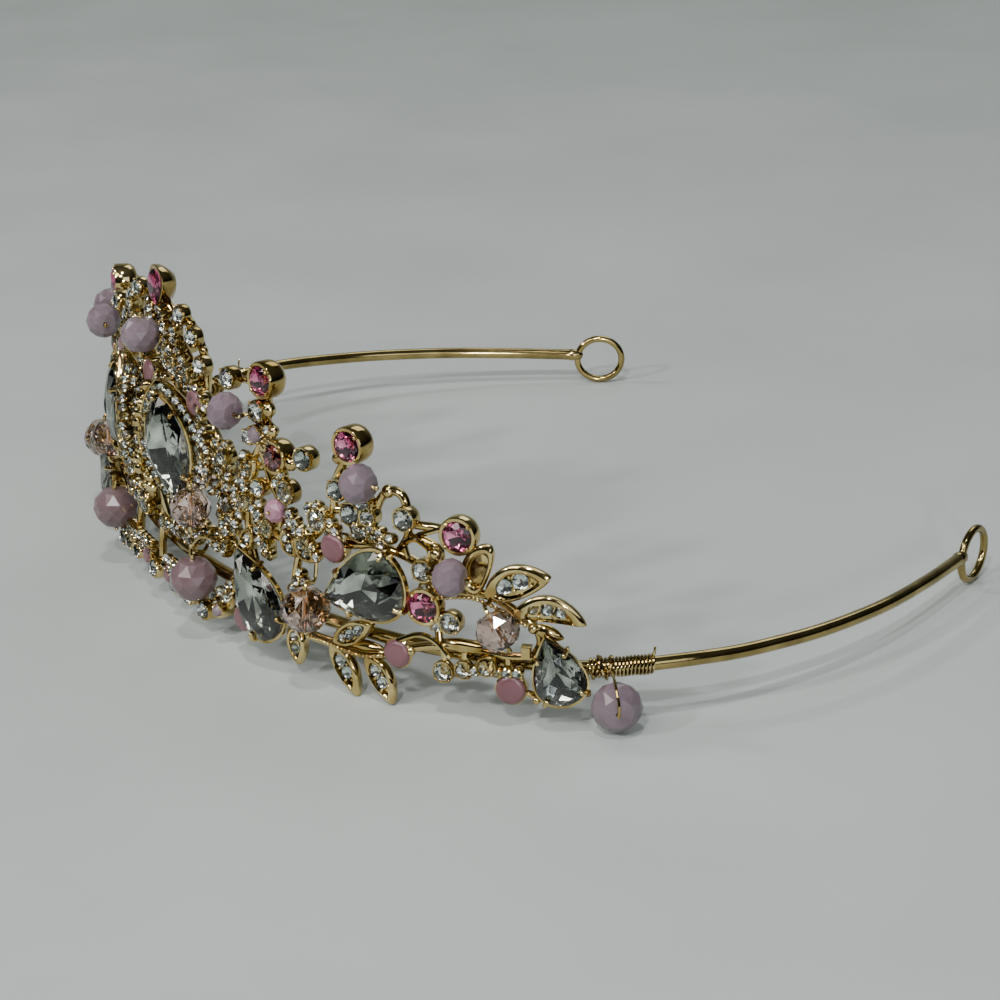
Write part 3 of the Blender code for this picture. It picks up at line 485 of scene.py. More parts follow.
def cut_stone(mesh, place, outline, width, length, heights, cuts=8, table=0.56):
    """A brilliant cut stone. Faces under the girdle take the second finish, the foil."""
    top, crown, lower, culet = heights
    double = 2 * cuts

    def ring(scale, height, first, step):
        flat = outline_points(outline, double, width, length, scale)
        return [mesh.verts.new(place @ Vector((*flat[i], height))) for i in range(first, double, step)]

    girdle = ring(1.0, 0.1, 0, 1)
    under = ring(1.0, -0.12, 0, 1)
    flat_top = ring(table, top, 0, 2)
    middle = ring(0.5 * (1.0 + table) + 0.03, crown, 1, 2)
    deep = ring(0.45, lower, 1, 2)
    point = mesh.verts.new(place @ Vector((0.0, 0.0, culet)))
    faces = [(flat_top, 0)]
    for j in range(cuts):
        k = (j + 1) % cuts
        g = [girdle[(2 * j + s) % double] for s in range(3)]
        h = [under[(2 * j + s) % double] for s in range(3)]
        faces += [
            ([flat_top[j], flat_top[k], middle[j]], 0),
            ([flat_top[k], middle[j], g[2], middle[k]], 0),
            ([middle[j], g[0], g[1]], 0),
            ([middle[j], g[1], g[2]], 0),
            ([g[0], g[1], h[1], h[0]], 0),
            ([g[1], g[2], h[2], h[1]], 0),
            ([deep[j], h[0], h[1]], 1),
            ([deep[j], h[1], h[2]], 1),
            ([deep[j], h[2], deep[k], point], 1),
        ]
    made = []
    for corners, shade in faces:
        face = mesh.faces.new(corners)
        face.material_index = shade
        made.append(face)
    bmesh.ops.recalc_face_normals(mesh, faces=made)


def faceted_bead(mesh, place, radius, half, sides=10, hole=0.34):
    """A drilled bead ground into triangular facets."""
    rows = (
        (hole, -half, 0.0), (0.60 * radius, -0.90 * half, 0.0), (0.92 * radius, -0.42 * half, 0.5),
        (radius, 0.0, 0.0), (0.92 * radius, 0.42 * half, 0.5), (0.60 * radius, 0.90 * half, 0.0),
        (hole, half, 0.0),
    )
    rings = []
    for reach, height, turn in rows:
        corners = [place @ Vector((reach * c, reach * s, height)) for c, s in wheel(sides, turn)]
        rings.append(([mesh.verts.new(corner) for corner in corners], turn))
    made = []
    for (low, low_turn), (high, high_turn) in zip(rings, rings[1:]):
        for i in range(sides):
            j = (i + 1) % sides
            if low_turn == high_turn:
                made.append(mesh.faces.new([low[i], low[j], high[j], high[i]]))
            elif low_turn < high_turn:
                made.append(mesh.faces.new([low[i], low[j], high[i]]))
                made.append(mesh.faces.new([low[j], high[j], high[i]]))
            else:
                made.append(mesh.faces.new([low[i], high[j], high[i]]))
                made.append(mesh.faces.new([low[i], low[j], high[j]]))
    first, last = rings[0][0], rings[-1][0]
    for i in range(sides):
        j = (i + 1) % sides
        made.append(mesh.faces.new([last[i], last[j], first[j], first[i]]))
    bmesh.ops.recalc_face_normals(mesh, faces=made)


# Settings and small metal forms

def add_leaf(metal, stones, side, row):
    """A leaf with a rounded rim. Set leaves hold a row of small stones between grains."""
    kind, u0, v0, u1, v1, face, width, bend = row
    length = math.hypot(u1 - u0, v1 - v0)
    turn = math.degrees(math.atan2(-(u1 - u0), v1 - v0)) * side
    place = seat(side * 0.5 * (u0 + u1), 0.5 * (v0 + v1), 0.0, turn)
    bend = side * bend
    back = 1.3
    if kind == "plain":
        rows = ((0.86, back), (0.98, back + 0.35), (0.94, face - 0.5), (0.62, face - 0.12), (0.16, face))
    else:
        floor = face - (1.1 if kind == "hollow" else 0.66)
        rows = (
            (0.86, back), (0.96, back + 0.3), (0.98, face - 0.6), (0.95, face - 0.25), (0.86, face - 0.04),
            (0.76, face), (0.66, face - 0.08), (0.60, face - 0.3), (0.56, floor), (0.20, floor - 0.05),
        )
    shape = circle if kind == "hollow" else leaf
    skin(metal, outline_rings(place, shape, 32, width, length, rows, 0.0, bend))
    if kind != "set":
        return
    small = 0.235 * width
    count = max(2, int(0.62 * length / (2.0 * small + 0.1)))
    for i in range(count):
        y = (i - 0.5 * (count - 1)) * (2.0 * small + 0.1) - 0.04 * length
        share = 2.0 * y / length
        size = 2 * small * (1.0 if abs(share) < 0.35 else 0.82)
        x = bend * (1.0 - share * share)
        stone = place @ Matrix.Translation((x, y, face - 0.2))
        cut_stone(stones, stone, circle, size, size, (0.34, 0.22, -0.3, -0.4), 6)
        for shift in (-0.2 * width, 0.2 * width):
            ball(metal, place @ Matrix.Translation((x + shift, y + small, face - 0.2)), GRAIN_RADIUS)


def add_prongs(metal, place, reach, radius):
    """Four grains round the edge of a stone."""
    for c, s in wheel(4, 0.5):
        ball(metal, place @ Matrix.Translation((reach * c, reach * s, 0.2)), radius)


def add_round_setting(metal, stones, stems, u, v, table, radius):
    """A small round stone in a deep cup with a domed back and four tiny prongs."""
    back = stem_depth(v) - 0.7
    away, under = nearest_on(stems, u, v)
    clear_of = under[2] + STEM_RADIUS + 0.1 if away < radius + STEM_RADIUS else stem_depth(v)
    girdle = max(table - 0.4, clear_of + 0.75)
    place = seat(u, v, girdle)
    low = back - girdle
    outer = radius + 0.12
    deep = min(1.1, girdle - clear_of)
    cup = (
        (0.0, low), (0.55 * outer, low + 0.06), (0.85 * outer, low + 0.25), (outer, low + 0.6),
        (outer, -0.1), (outer - 0.1, 0.14), (radius - 0.12, 0.12), (radius - 0.2, -0.3),
        (0.5 * radius, -0.75 * deep), (0.0, -deep - 0.08),
    )
    lathe(metal, place, cup, 20)
    heights = (0.75, 0.48, -0.7 * deep, -deep)
    cut_stone(stones, place, circle, 2 * radius - 0.3, 2 * radius - 0.3, heights, 8)
    add_prongs(metal, place, radius - 0.1, 0.26)


def add_deep_cup(metal, place, radius, depth):
    """The smooth, deep, round-backed cup of a pink stone."""
    outer = radius + CUP_WALL + 0.15
    cup = (
        (0.0, -depth), (0.45 * outer, 0.08 - depth), (0.75 * outer, 0.4 - depth),
        (0.93 * outer, 0.95 - depth), (outer, 1.5 - depth), (outer, -0.05), (outer - 0.16, 0.16),
        (radius + 0.08, 0.12), (radius - 0.02, -0.2), (0.5 * radius, -0.55), (0.0, -0.76),
    )
    lathe(metal, place, cup, 32)


def add_basket(metal, place, outline, width, length, depth, wall, culet, claws):
    """A basket under a fancy stone: tapered wall, bright edge, floor and bent claws."""
    rows = (
        (0.3, -depth), (0.55, 0.2 - depth), (0.84, -0.6 * depth), (1.0, -0.3 * depth), (1.0, -0.2),
        (0.93, -0.14), (0.88, -0.3), (0.5, 0.75 * culet - 0.1), (0.04, culet - 0.1),
    )
    skin(metal, outline_rings(place, outline, 40, width, length, rows, wall))
    for t in claws:
        x, y = outline(math.radians(t))
        run = []
        for grow, scale, height in CLAW_BEND:
            px = x * (0.5 * width * scale + grow)
            py = y * (0.5 * length * scale + grow)
            run.append(place @ Vector((px, py, height)))
        tube(metal, smooth_run(run, 0.3), CLAW_RADIUS, 8)
        ball(metal, Matrix.Translation(run[-1]), 0.4)


def add_halo(metal, stones, place, outline, width, length):
    """A ring of very small stones and grains in a channel round a fancy stone."""
    rings = []
    for grow, height in HALO_CHANNEL:
        flat = outline_points(outline, 60, width, length, 1.0, grow)
        rings.append([place @ Vector((x, y, height)) for x, y in flat])
    skin(metal, rings, True)
    ring = [Vector(point) for point in outline_points(outline, 240, width, length, 1.0, 1.25)]
    runs = [0.0]
    for a, b in zip(ring, ring[1:] + ring[:1]):
        runs.append(runs[-1] + (b - a).length)
    for i in range(HALO_STONES):
        k = int(np.searchsorted(runs, runs[-1] * (i + 0.5) / HALO_STONES)) - 1
        base = place @ Matrix.Translation((*ring[k % 240], -0.85))
        cut_stone(stones, base, circle, 1.34, 1.34, (0.45, 0.3, -0.4, -0.55), 6)
        side = ring[(k + 120 // HALO_STONES) % 240]
        ball(metal, place @ Matrix.Translation((side.x * 1.04, side.y * 1.02, -0.62)), GRAIN_RADIUS)


def add_pave(metal, stones, side, row):
    """A field of very small stones between grains, each tipped a little its own way."""
    u0, v0, u1, v1, width, d, lean = row
    u0, u1, lean = side * u0, side * u1, side * lean
    length = math.hypot(u1 - u0, v1 - v0)
    along = Vector((u1 - u0, v1 - v0)) / length
    across = Vector((-along.y, along.x))
    lanes = max(1, round(width / PAVE_STEP))
    count = max(2, round(length / PAVE_STEP))
    for i in range(count + 1):
        for k in range(lanes):
            far = (i + 0.5 * (k % 2)) * length / count
            middle = Vector((u0, v0)) + along * far + across * (0.9 * PAVE_STEP * (k - 0.5 * (lanes - 1)))
            wave = math.sin(12.9 * middle.x + 7.3 * middle.y)
            swell = math.cos(5.1 * middle.x - 9.7 * middle.y)
            tip = Matrix.Rotation(0.3 * wave, 4, "X") @ Matrix.Rotation(0.3 * swell, 4, "Y")
            bed = seat(middle.x, middle.y, d + 0.3 * wave, 0.0, lean) @ tip
            lathe(metal, bed, PAVE_BED, 10)
            cut_stone(stones, bed, circle, 1.24, 1.24, (0.4, 0.26, -0.3, -0.42), 6)
            ball(metal, bed @ Matrix.Translation((0.74, 0.3 * swell, 0.06)), 0.26)


def nearest_on(stems, u, v):
    """The stem point nearest to a place on the drawing, with its distance."""
    found = []
    for stem in stems:
        for a, b in zip(stem, stem[1:]):
            run = Vector((b[0] - a[0], b[1] - a[1]))
            share = Vector((u - a[0], v - a[1])).dot(run) / max(run.length_squared, 1e-9)
            share = min(1.0, max(0.0, share))
            point = [a[k] + (b[k] - a[k]) * share for k in range(3)]
            found.append((math.hypot(u - point[0], v - point[1]), point))
    return min(found, key=lambda row: row[0])


def add_spur(metal, stems, u, v, reach=0.8):
    """Short stem from the nearest long stem to a setting, when they do not meet already."""
    away, point = nearest_on(stems, u, v)
    if away > reach:
        tube(metal, [spot(*point), spot(u, v, stem_depth(v))], SPUR_RADIUS, 8)


def add_grain_row(metal, points):
    """Fine gilt grains side by side along a line."""
    run = [spot(*point) for point in smooth_run(points, 0.2)]
    since = 1e9
    for a, b in zip(run, run[1:]):
        since += (b - a).length
        if since >= 1.75 * ROW_GRAIN_RADIUS:
            ball(metal, Matrix.Translation(b), ROW_GRAIN_RADIUS)
            since = 0.0


def bead_place(u, v, d, wire_side):
    """Placement of a bead whose hole lies in the wall, with local z towards its wire."""
    return seat(u, v, d, wire_side) @ Matrix.Rotation(math.radians(90.0), 4, "Y")


def add_bead_wire(metal, stems, u, v, d, half, wire_side):
    """Wire that leaves a stem, goes through the bead and ends in a small knob."""
    angle = math.radians(wire_side)
    reach = half + 0.9
    near = (u + reach * math.cos(angle), v + reach * math.sin(angle))
    _, root = nearest_on(stems, *near)
    far = half + 0.55
    end = (u - far * math.cos(angle), v - far * math.sin(angle), d)
    bends = [root, (*near, 0.5 * (root[2] + d)), (*near, d), (u, v, d), end]
    wire(metal, bends, 0.4, BEAD_WIRE_RADIUS)
    ball(metal, Matrix.Translation(spot(*end)), 0.36)


# Finishes

def linear(code):
    """sRGB hex to linear colour."""
    values = [int(code[i:i + 2], 16) / 255.0 for i in (1, 3, 5)]
    return tuple(c / 12.92 if c <= 0.04045 else ((c + 0.055) / 1.055) ** 2.4 for c in values) + (1.0,)


def add(tree, kind, values=None, links=None):
    """Adds a node with its input values and links."""
    made = tree.nodes.new(kind)
    for key, value in (values or {}).items():
        made.inputs[key].default_value = value
    for key, source in (links or {}).items():
        tree.links.new(source, made.inputs[key])
    return made


def blank(name, values):
    """A material with only its output and a Principled shader with these values."""
    made = bpy.data.materials.new(name)
    made.use_nodes = True
    shader = made.node_tree.nodes["Principled BSDF"]
    for key, value in values.items():
        shader.inputs[key].default_value = value
    return made, made.node_tree, shader


def speckle(tree, size_mm, detail=3.0):
    """Noise whose patches are about this many mm across."""
    place = add(tree, "ShaderNodeTexCoord")
    return add(tree, "ShaderNodeTexNoise", values={"Scale": 1.0 / (size_mm * MM), "Detail": detail},
               links={"Vector": place.outputs["Object"]})


def blend(tree, source, low, high, dark, light):
    """Colour ramp from one hex colour to another over part of a pattern's range."""
    ramp = add(tree, "ShaderNodeValToRGB", links={"Fac": source})
    for stop, position, code in zip(ramp.color_ramp.elements, (low, high), (dark, light)):
        stop.position = position
        stop.color = linear(code)
    return ramp.outputs["Color"]


def cloud(tree, shader, size_mm, half, dark, light, detail=3.0):
    """Base colour that drifts between two hex colours in patches of this size. The smaller the
    half range, the harder the patches' edges."""
    patches = speckle(tree, size_mm, detail)
    tone = blend(tree, patches.outputs["Fac"], 0.5 - half, 0.5 + half, dark, light)
    tree.links.new(tone, shader.inputs["Base Color"])


def spread(tree, source, low, high):
    """Maps a pattern to a range of values."""
    made = add(tree, "ShaderNodeMapRange", values={"To Min": low, "To Max": high}, links={"Value": source})
    return made.outputs["Result"]


def gilt_finish(name, dark, light, rough, dent):
    """Gold plate on a cast or drawn base metal."""
    made, tree, shader = blank(name, {"Metallic": 1.0})
    cloud(tree, shader, 5.0, 0.15, dark, light)
    fine = speckle(tree, 0.45)
    tree.links.new(spread(tree, fine.outputs["Fac"], rough - 0.05, rough + 0.07), shader.inputs["Roughness"])
    bump = add(tree, "ShaderNodeBump", values={"Strength": dent, "Distance": 0.05 * MM},
               links={"Height": fine.outputs["Fac"]})
    tree.links.new(bump.outputs["Normal"], shader.inputs["Normal"])
    return made


def glass_finish(name, dark, light, index):
    """Polished lead glass: the colour drifts a little and fine rubs dull it here and there."""
    made, tree, shader = blank(name, {"IOR": index, "Transmission Weight": 1.0})
    cloud(tree, shader, 2.5, 0.2, dark, light)
    rubs = speckle(tree, 0.6)
    tree.links.new(spread(tree, rubs.outputs["Fac"], 0.0, 0.04), shader.inputs["Roughness"])
    return made


def foil_finish(name, dark, light):
    """Silvered foil baked on the back of a crystal."""
    made, tree, shader = blank(name, {"Metallic": 1.0, "Roughness": 0.05})
    cloud(tree, shader, 3.0, 0.15, dark, light, 0.0)
    return made


def opal_finish(name, dark, light, rough, depth_mm):
    """Milky opal glass: light sinks in and the colour clouds gently."""
    made, tree, shader = blank(name, {
        "Subsurface Weight": 0.85, "Subsurface Radius": (1.0, 0.8, 0.9),
        "Subsurface Scale": depth_mm * MM, "IOR": 1.5,
    })
    cloud(tree, shader, 3.0, 0.2, dark, light, 4.0)
    rubs = speckle(tree, 0.5)
    tree.links.new(spread(tree, rubs.outputs["Fac"], rough - 0.03, rough + 0.05), shader.inputs["Roughness"])
    return made


# Gold plate over a cast, tumbled zinc alloy: a soft mirror with slight dents and pale highlights
CAST_GILT = gilt_finish("cast_gilt", "#9c8245", "#dcc88e", 0.08, 0.2)
# Gold plate over drawn brass wire: smoother and browner, with one long highlight along it
DRAWN_GILT = gilt_finish("drawn_gilt_wire", "#8b7a4c", "#b39f68", 0.12, 0.08)
# Machine cut and polished lead glass: sharp facets that are clear, with grey and white flashes
CLEAR_CRYSTAL = glass_finish("clear_lead_glass", "#eef5f2", "#ffffff", 1.58)
# Vacuum plated silver under a stone: throws the light back, so the stone looks grey and not gold
CLEAR_FOIL = foil_finish("silver_foil", "#bcc4c1", "#f4f7f6")
# The same plating under the large stones, made darker as painted shade so that they look smoky beside the
# small ones
SHADED_FOIL = foil_finish("painted_shade_silver_foil", "#8e938a", "#dde1d9")
# Pink lead glass and its plating: deep pink in shade and nearly white where a facet flashes
PINK_CRYSTAL = glass_finish("pink_lead_glass", "#f08cb8", "#ffc6df", 1.58)
PINK_FOIL = foil_finish("pink_silver_foil", "#d98db2", "#ffe6f1")
# Peach lead glass, cut and drilled, with no plating: the gold behind it shines through
PEACH_CRYSTAL = glass_finish("peach_lead_glass", "#e6c3b6", "#f4ddd2", 1.55)
# Opal glass, ground and fire polished: milky, with light sinking in and soft facet edges
LILAC_OPAL = opal_finish("lilac_opal_glass", "#665a61", "#71656c", 0.14, 2.4)
ROSE_OPAL = opal_finish("rose_opal_glass", "#5f4e51", "#6a585b", 0.16, 2.6)
# Cast, unpolished resin: an even, dull pink without flashes
SALMON_RESIN = opal_finish("salmon_resin", "#65444a", "#704e53", 0.3, 0.8)
# Brighter pink opal glass, cut small: milky with a few bright facets
PINK_OPAL = opal_finish("pink_opal_glass", "#86606e", "#9c7584", 0.12, 0.8)


# Pieces

def put_in_scene(name, data):
    """A new object in the scene."""
    made = bpy.data.objects.new(name, data)
    bpy.context.scene.collection.objects.link(made)
    return made


def dress(name, mesh, finishes, nodes=(), sharp=None):
    """Turns a mesh on the drawing into a piece in the row frame that stands for its CAD nodes."""
    mesh.transform(POSE)
    data = bpy.data.meshes.new(name)
    mesh.to_mesh(data)
    mesh.free()
    for finish in finishes:
        data.materials.append(finish)
    if sharp is not None:
        data.shade_smooth()
        data.set_sharp_from_angle(angle=math.radians(sharp))
    made = put_in_scene(name, data)
    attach(made, "root")
    if nodes:
        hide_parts(*nodes)
    return made


def dress_headband():
    """The round wire band with an eye loop at each end."""
    mesh = bmesh.new()
    path = [Vector((-x, y, 0.0)) for x, y in reversed(ARM_PATH[1:])]
    for u in np.linspace(-QUARTER, QUARTER, 37):
        base, _ = wall_point(float(u))
        base.z = rod_height(float(u))
        path.append(base)
    path += [Vector((x, y, 0.0)) for x, y in ARM_PATH[1:]]
    tube(mesh, smooth_run(path, 1.5), ROD_RADIUS, 20)
    for end, before in ((path[0], path[1]), (path[-1], path[-2])):
        ahead = (end - before).normalized()
        centre = end + ahead * LOOP_CENTRE_AHEAD - Vector((0.0, 0.0, LOOP_CENTRE_DROP))
        high = Vector((0.0, 0.0, LOOP_HALF_HEIGHT))
        ring = [centre + ahead * (LOOP_HALF_LENGTH * c) + high * s for c, s in wheel(48)]
        tube(mesh, ring, LOOP_WIRE_RADIUS, 14, True)
        neck = [end - ahead * 0.6, end + ahead * 0.9]
        tube(mesh, neck, [1.12, 0.95], 16)
    dress("band_wire", mesh, [DRAWN_GILT], ["headband"], 40.0)


def dress_wrap(side, word):
    """Close turns of fine wire, a loose knot, and the wire that carries the hanging bead."""
    mesh = bmesh.new()
    turns = (WRAP_END - WRAP_START) / WRAP_PITCH
    steps = int(turns * 14)
    path = []
    for i in range(steps + 1):
        share = i / steps
        u = WRAP_START + (WRAP_END - WRAP_START) * share
        angle = 2.0 * math.pi * turns * share
        wander = 1.0 + 0.03 * math.sin(7.3 * share * turns)
        place = seat(side * u, rod_height(u), 0.0)
        reach = WRAP_RADIUS * wander
        path.append(place @ Vector((0.0, reach * math.sin(angle), reach * math.cos(angle))))
    tube(mesh, path, WRAP_WIRE_RADIUS, 7)
    for u, lean, reach in ((82.2, 0.5, 1.5), (83.0, -0.7, 1.56), (83.8, 0.35, 1.5)):
        ring = []
        for c, s in wheel(28):
            place = seat(side * (u + lean * s), rod_height(u), 0.0)
            ring.append(place @ Vector((0.0, reach * s, reach * c)))
        tube(mesh, ring, KNOT_WIRE_RADIUS, 7, True)
    _, u, v, d, radius, half = HANGING_BEAD
    run = [
        (side * (u - 0.6), -0.6, 1.42), (side * (u - 0.5), -0.6, 4.3), (side * (u - 0.3), -1.4, 6.3),
        (side * u, -3.2, d + half + 1.0), (side * u, v + 0.3, d + half + 0.8),
        (side * u, v, d + half + 0.2), (side * u, v, d - half - 0.3),
    ]
    wire(mesh, run, 0.4, HANGER_WIRE_RADIUS, 7)
    tail = [(side * 89.7, 0.9, 0.6), (side * 89.8, 1.5, 0.8), (side * 89.9, 2.3, 0.7)]
    tube(mesh, [spot(*point) for point in tail], TAIL_WIRE_RADIUS, 7)
    dress(word + "_binding_wire", mesh, [CAST_GILT], [word + "_wire_wrap"], 50.0)


def sided(name, side):
    """A piece's name on one side."""
    return name + ("_left" if side > 0 else "_right")


def mirrored(rows, side):
    """Copies rows that start with u for one side of the front centre."""
    return [(side * row[0],) + tuple(row[1:]) for row in rows]


def turned(row, side):
    """Copies a fancy stone's row for one side, with its name ending."""
    return (sided(row[0], side), side * row[1]) + tuple(row[2:-2]) + (side * row[-2], side * row[-1])


def swung(row, side):
    """Copies a bead's row for one side, with its wire's side mirrored too."""
    swing = row[-1] if side > 0 else 180.0 - row[-1]
    return (sided(row[0], side), side * row[1]) + tuple(row[2:-1]) + (swing,)


# Claws: how far outside the stone, scale of its outline, height
CLAW_BEND = ((0.45, 1.0, -1.0), (0.52, 1.0, -0.2), (0.3, 1.0, 0.35), (-0.1, 0.95, 0.62))
PEAR_CLAWS = (62.0, 140.0, 220.0, 298.0)
NAVETTE_CLAWS = (0.0, 52.0, 128.0, 180.0, 232.0, 308.0)


def dress_fancy(metal, row, outline, claws, pink=False):
    """A pear or navette stone with its basket."""
    name, u, v, d, width, length, lean, turn = row
    place = seat(u, v, d, turn, lean)
    heights = SMALL_HEIGHTS if pink else CUT_HEIGHTS
    depth = d - stem_depth(v) + (1.9 if pink else 0.5)
    wall = CUP_WALL + (0.1 if pink else -0.12)
    add_basket(metal, place, outline, width, length, depth, wall, heights[-1], claws)
    mesh = bmesh.new()
    cut_stone(mesh, place, outline, width, length, heights, 8 if pink else 10)
    # The large clear stones take the darkened foil, which paints shade into them
    finishes = [PINK_CRYSTAL, PINK_FOIL] if pink else [CLEAR_CRYSTAL, SHADED_FOIL]
    dress(name + "_stone", mesh, finishes, [name])


def dress_bead(name, place, radius, half):
    """One faceted bead in its own finish."""
    kinds = {
        "lilac": (LILAC_OPAL, "lilac_opal"), "rose": (ROSE_OPAL, "rose_opal"),
        "peach": (PEACH_CRYSTAL, "peach_crystal"),
    }
    finish, slot = kinds[name.split("_")[0]]
    mesh = bmesh.new()
    faceted_bead(mesh, place, radius - BEAD_TRIM, half)
    dress(name + "_bead", mesh, [finish], [name])


def dress_casting(sides, stems, arcs, grains, balls, clears, chips, cabochons, leaves, beads, drops, pinks):
    """One casting: its stems, leaves and settings, and everything that is set in it."""
    metal = bmesh.new()
    stones = bmesh.new()
    lilacs = bmesh.new()
    salmon = bmesh.new()
    for stem in stems:
        run = smooth_run(stem, 0.7)
        count = len(run)
        radii = [STEM_RADIUS * (1.0 - 0.12 * abs(2.0 * i / (count - 1) - 1.0)) for i in range(count)]
        tube(metal, [spot(*point) for point in run], radii, 10)
    for arc in arcs:
        wire(metal, arc, 0.5, ARC_RADIUS)
    for row in grains:
        add_grain_row(metal, row)
    for u, v, d, radius in balls:
        ball(metal, seat(u, v, d), radius, 0.8)
        add_spur(metal, stems, u, v, 1.0)
    for u, v, table, radius in clears:
        add_round_setting(metal, stones, stems, u, v, table, radius)
        add_spur(metal, stems, u, v)
    for u, v, table, radius in chips:
        add_round_setting(metal, lilacs, stems, u, v, table, radius)
        add_spur(metal, stems, u, v)
    for u, v, face, radius in cabochons:
        back = stem_depth(v) - 0.5
        place = seat(u, v, 0.0)
        cup = (
            (0.0, back), (0.7 * radius, back + 0.04), (radius, back + 0.4), (radius + 0.22, back + 1.0),
            (radius + 0.22, face - 0.75), (radius + 0.05, face - 0.6), (radius - 0.1, face - 0.8),
            (0.0, face - 0.9),
        )
        lathe(metal, place, cup, 28)
        dome = (
            (radius - 0.12, face - 0.85), (radius + 0.04, face - 0.55), (radius - 0.06, face - 0.3),
            (0.84 * radius, face - 0.1), (0.55 * radius, face - 0.02), (0.0, face),
        )
        lathe(salmon, place, dome, 32)
        add_spur(metal, stems, u, v)
    for side in sides:
        for row in leaves:
            add_leaf(metal, stones, side, row)
            add_spur(metal, stems, side * row[1], row[2], 0.6)
    for row, outline, claws, pink in drops:
        dress_fancy(metal, row, outline, claws, pink)
        add_spur(metal, stems, row[1], row[2])
    for name, u, v, d, radius in pinks:
        place = seat(u, v, d)
        add_deep_cup(metal, place, radius, d + min(1.3, 0.06 * v - 0.3))
        add_spur(metal, stems, u, v)
        mesh = bmesh.new()
        cut_stone(mesh, place, circle, 2.0 * radius, 2.0 * radius, SMALL_HEIGHTS, 8)
        dress(name + "_stone", mesh, [PINK_CRYSTAL, PINK_FOIL], [name])
        add_prongs(metal, place, radius + 0.1, 0.34)
    for name, u, v, d, radius, half, wire_side in beads:
        add_bead_wire(metal, stems, u, v, d, half, wire_side)
        dress_bead(name, bead_place(u, v, d, wire_side), radius, half)
    return metal, stones, lilacs, salmon


def finish_casting(word, metal, stones, lilacs, salmon):
    """Hands over the meshes of one casting."""
    dress(word + "_metal", metal, [CAST_GILT], [word], 38.0)
    dress(word + "_small_stones", stones, [CLEAR_CRYSTAL, CLEAR_FOIL])
    dress(word + "_lilac_chips", lilacs, [LILAC_OPAL, CLEAR_FOIL])
    dress(word + "_cabochons", salmon, [SALMON_RESIN], (), 40.0)


def dress_side(side, word):
    """One of the two long side castings."""
    stems = [mirrored(stem, side) for stem in SIDE_STEMS]
    parts = dress_casting(
        (side,), stems, [mirrored(arc, side) for arc in SIDE_ARCS],
        [mirrored(row, side) for row in SIDE_GRAIN_ROWS], mirrored(SIDE_BALLS, side),
        mirrored(SIDE_CLEARS, side), mirrored(SIDE_LILAC_CHIPS, side), mirrored(SIDE_CABOCHONS, side),
        SIDE_LEAVES, [swung(row, side) for row in SIDE_BEADS],
        [(turned(row, side), pear, PEAR_CLAWS, False) for row in PEARS],
        [(sided(row[0], side), side * row[1]) + tuple(row[2:]) for row in PINKS],
    )
    for row in SIDE_PAVE:
        add_pave(parts[0], parts[1], side, row)
    mesh = bmesh.new()
    for u, v, face, radius in PINK_BEADS:
        faceted_bead(mesh, seat(side * u, v, face - 1.3), radius, 1.25, 9, 0.35)
        tube(parts[0], [spot(side * u, v, 1.2), spot(side * u, v, face)], 0.3, 8)
    dress(word + "_pink_bead", mesh, [PINK_OPAL])
    block = seat(side * 73.0, 1.7, 2.1)
    rows = ((0.8, -0.9), (1.0, -0.7), (1.0, 0.5), (0.85, 0.7))
    corners = ((-0.7, -0.8), (0.7, -0.8), (0.7, 0.8), (-0.7, 0.8))
    skin(parts[0], [[block @ Vector((x * s, y * s, h)) for x, y in corners] for s, h in rows])
    finish_casting(word, *parts)


def dress_centre():
    """The crest between the two side castings."""
    stems = [SPINE, LOWER_STEM]
    arcs, balls, clears, chips = [], [], list(CREST_CLEARS), []
    cabochons = list(CREST_CABOCHONS)
    beads = [CREST_BEAD]
    drops = [(CREST_STONE, pear, (), True)]
    for side in (1.0, -1.0):
        stems += [mirrored(stem, side) for stem in CENTRE_STEMS]
        arcs += [mirrored(arc, side) for arc in CENTRE_ARCS]
        balls += mirrored(CENTRE_BALLS, side)
        clears += mirrored(CENTRE_CLEARS, side)
        chips += mirrored(CENTRE_LILAC_CHIPS, side)
        cabochons += mirrored(CENTRE_CABOCHONS, side)
        beads += [swung(row, side) for row in CENTRE_BEADS]
        drops += [(turned(row, side), navette, NAVETTE_CLAWS, False) for row in NAVETTES]
    parts = dress_casting(
        (1.0, -1.0), stems, arcs, [], balls, clears, chips, cabochons,
        CENTRE_LEAVES, beads, drops, [],
    )
    for side in (1.0, -1.0):
        for row in CENTRE_PAVE:
            add_pave(parts[0], parts[1], side, row)
        _, u, v, d, width, length, lean, turn = NAVETTES[0]
        place = seat(side * u, v, d, side * turn, side * lean)
        add_halo(parts[0], parts[1], place, navette, width, length)
    finish_casting("centre_casting", *parts)


# Room, light and camera

def make_stage():
    """A pale floor that curves up into a backdrop behind the tiara, as seen from the camera."""
    mesh = bmesh.new()
    _, _, look = camera_axes()
    away = Vector((look.x, look.y, 0.0)).normalized()
    across = Vector((away.y, -away.x, 0.0))
    rows = [(-1.2, 0.0), (0.5, 0.0)]
    for i in range(1, 13):
        angle = math.radians(90.0 * i / 12)
        rows.append((0.5 + 0.5 * math.sin(angle), 0.5 * (1.0 - math.cos(angle))))
    rows.append((1.0, 2.2))
    rings = []
    for run, height in rows:
        middle = away * run + Vector((0.0, 0.0, height))
        rings.append([mesh.verts.new(middle + across * reach) for reach in (-2.0, 2.0)])
    for low, high in zip(rings, rings[1:]):
        mesh.faces.new([low[0], low[1], high[1], high[0]])
    data = bpy.data.meshes.new("floor")
    mesh.to_mesh(data)
    mesh.free()
    data.shade_smooth()
    made, tree, shader = blank("pale_floor", {"Roughness": 0.6})
    cloud(tree, shader, 60.0, 0.2, "#9ba19e", "#a4aaa7")
    data.materials.append(made)
    put_in_scene("floor", data)


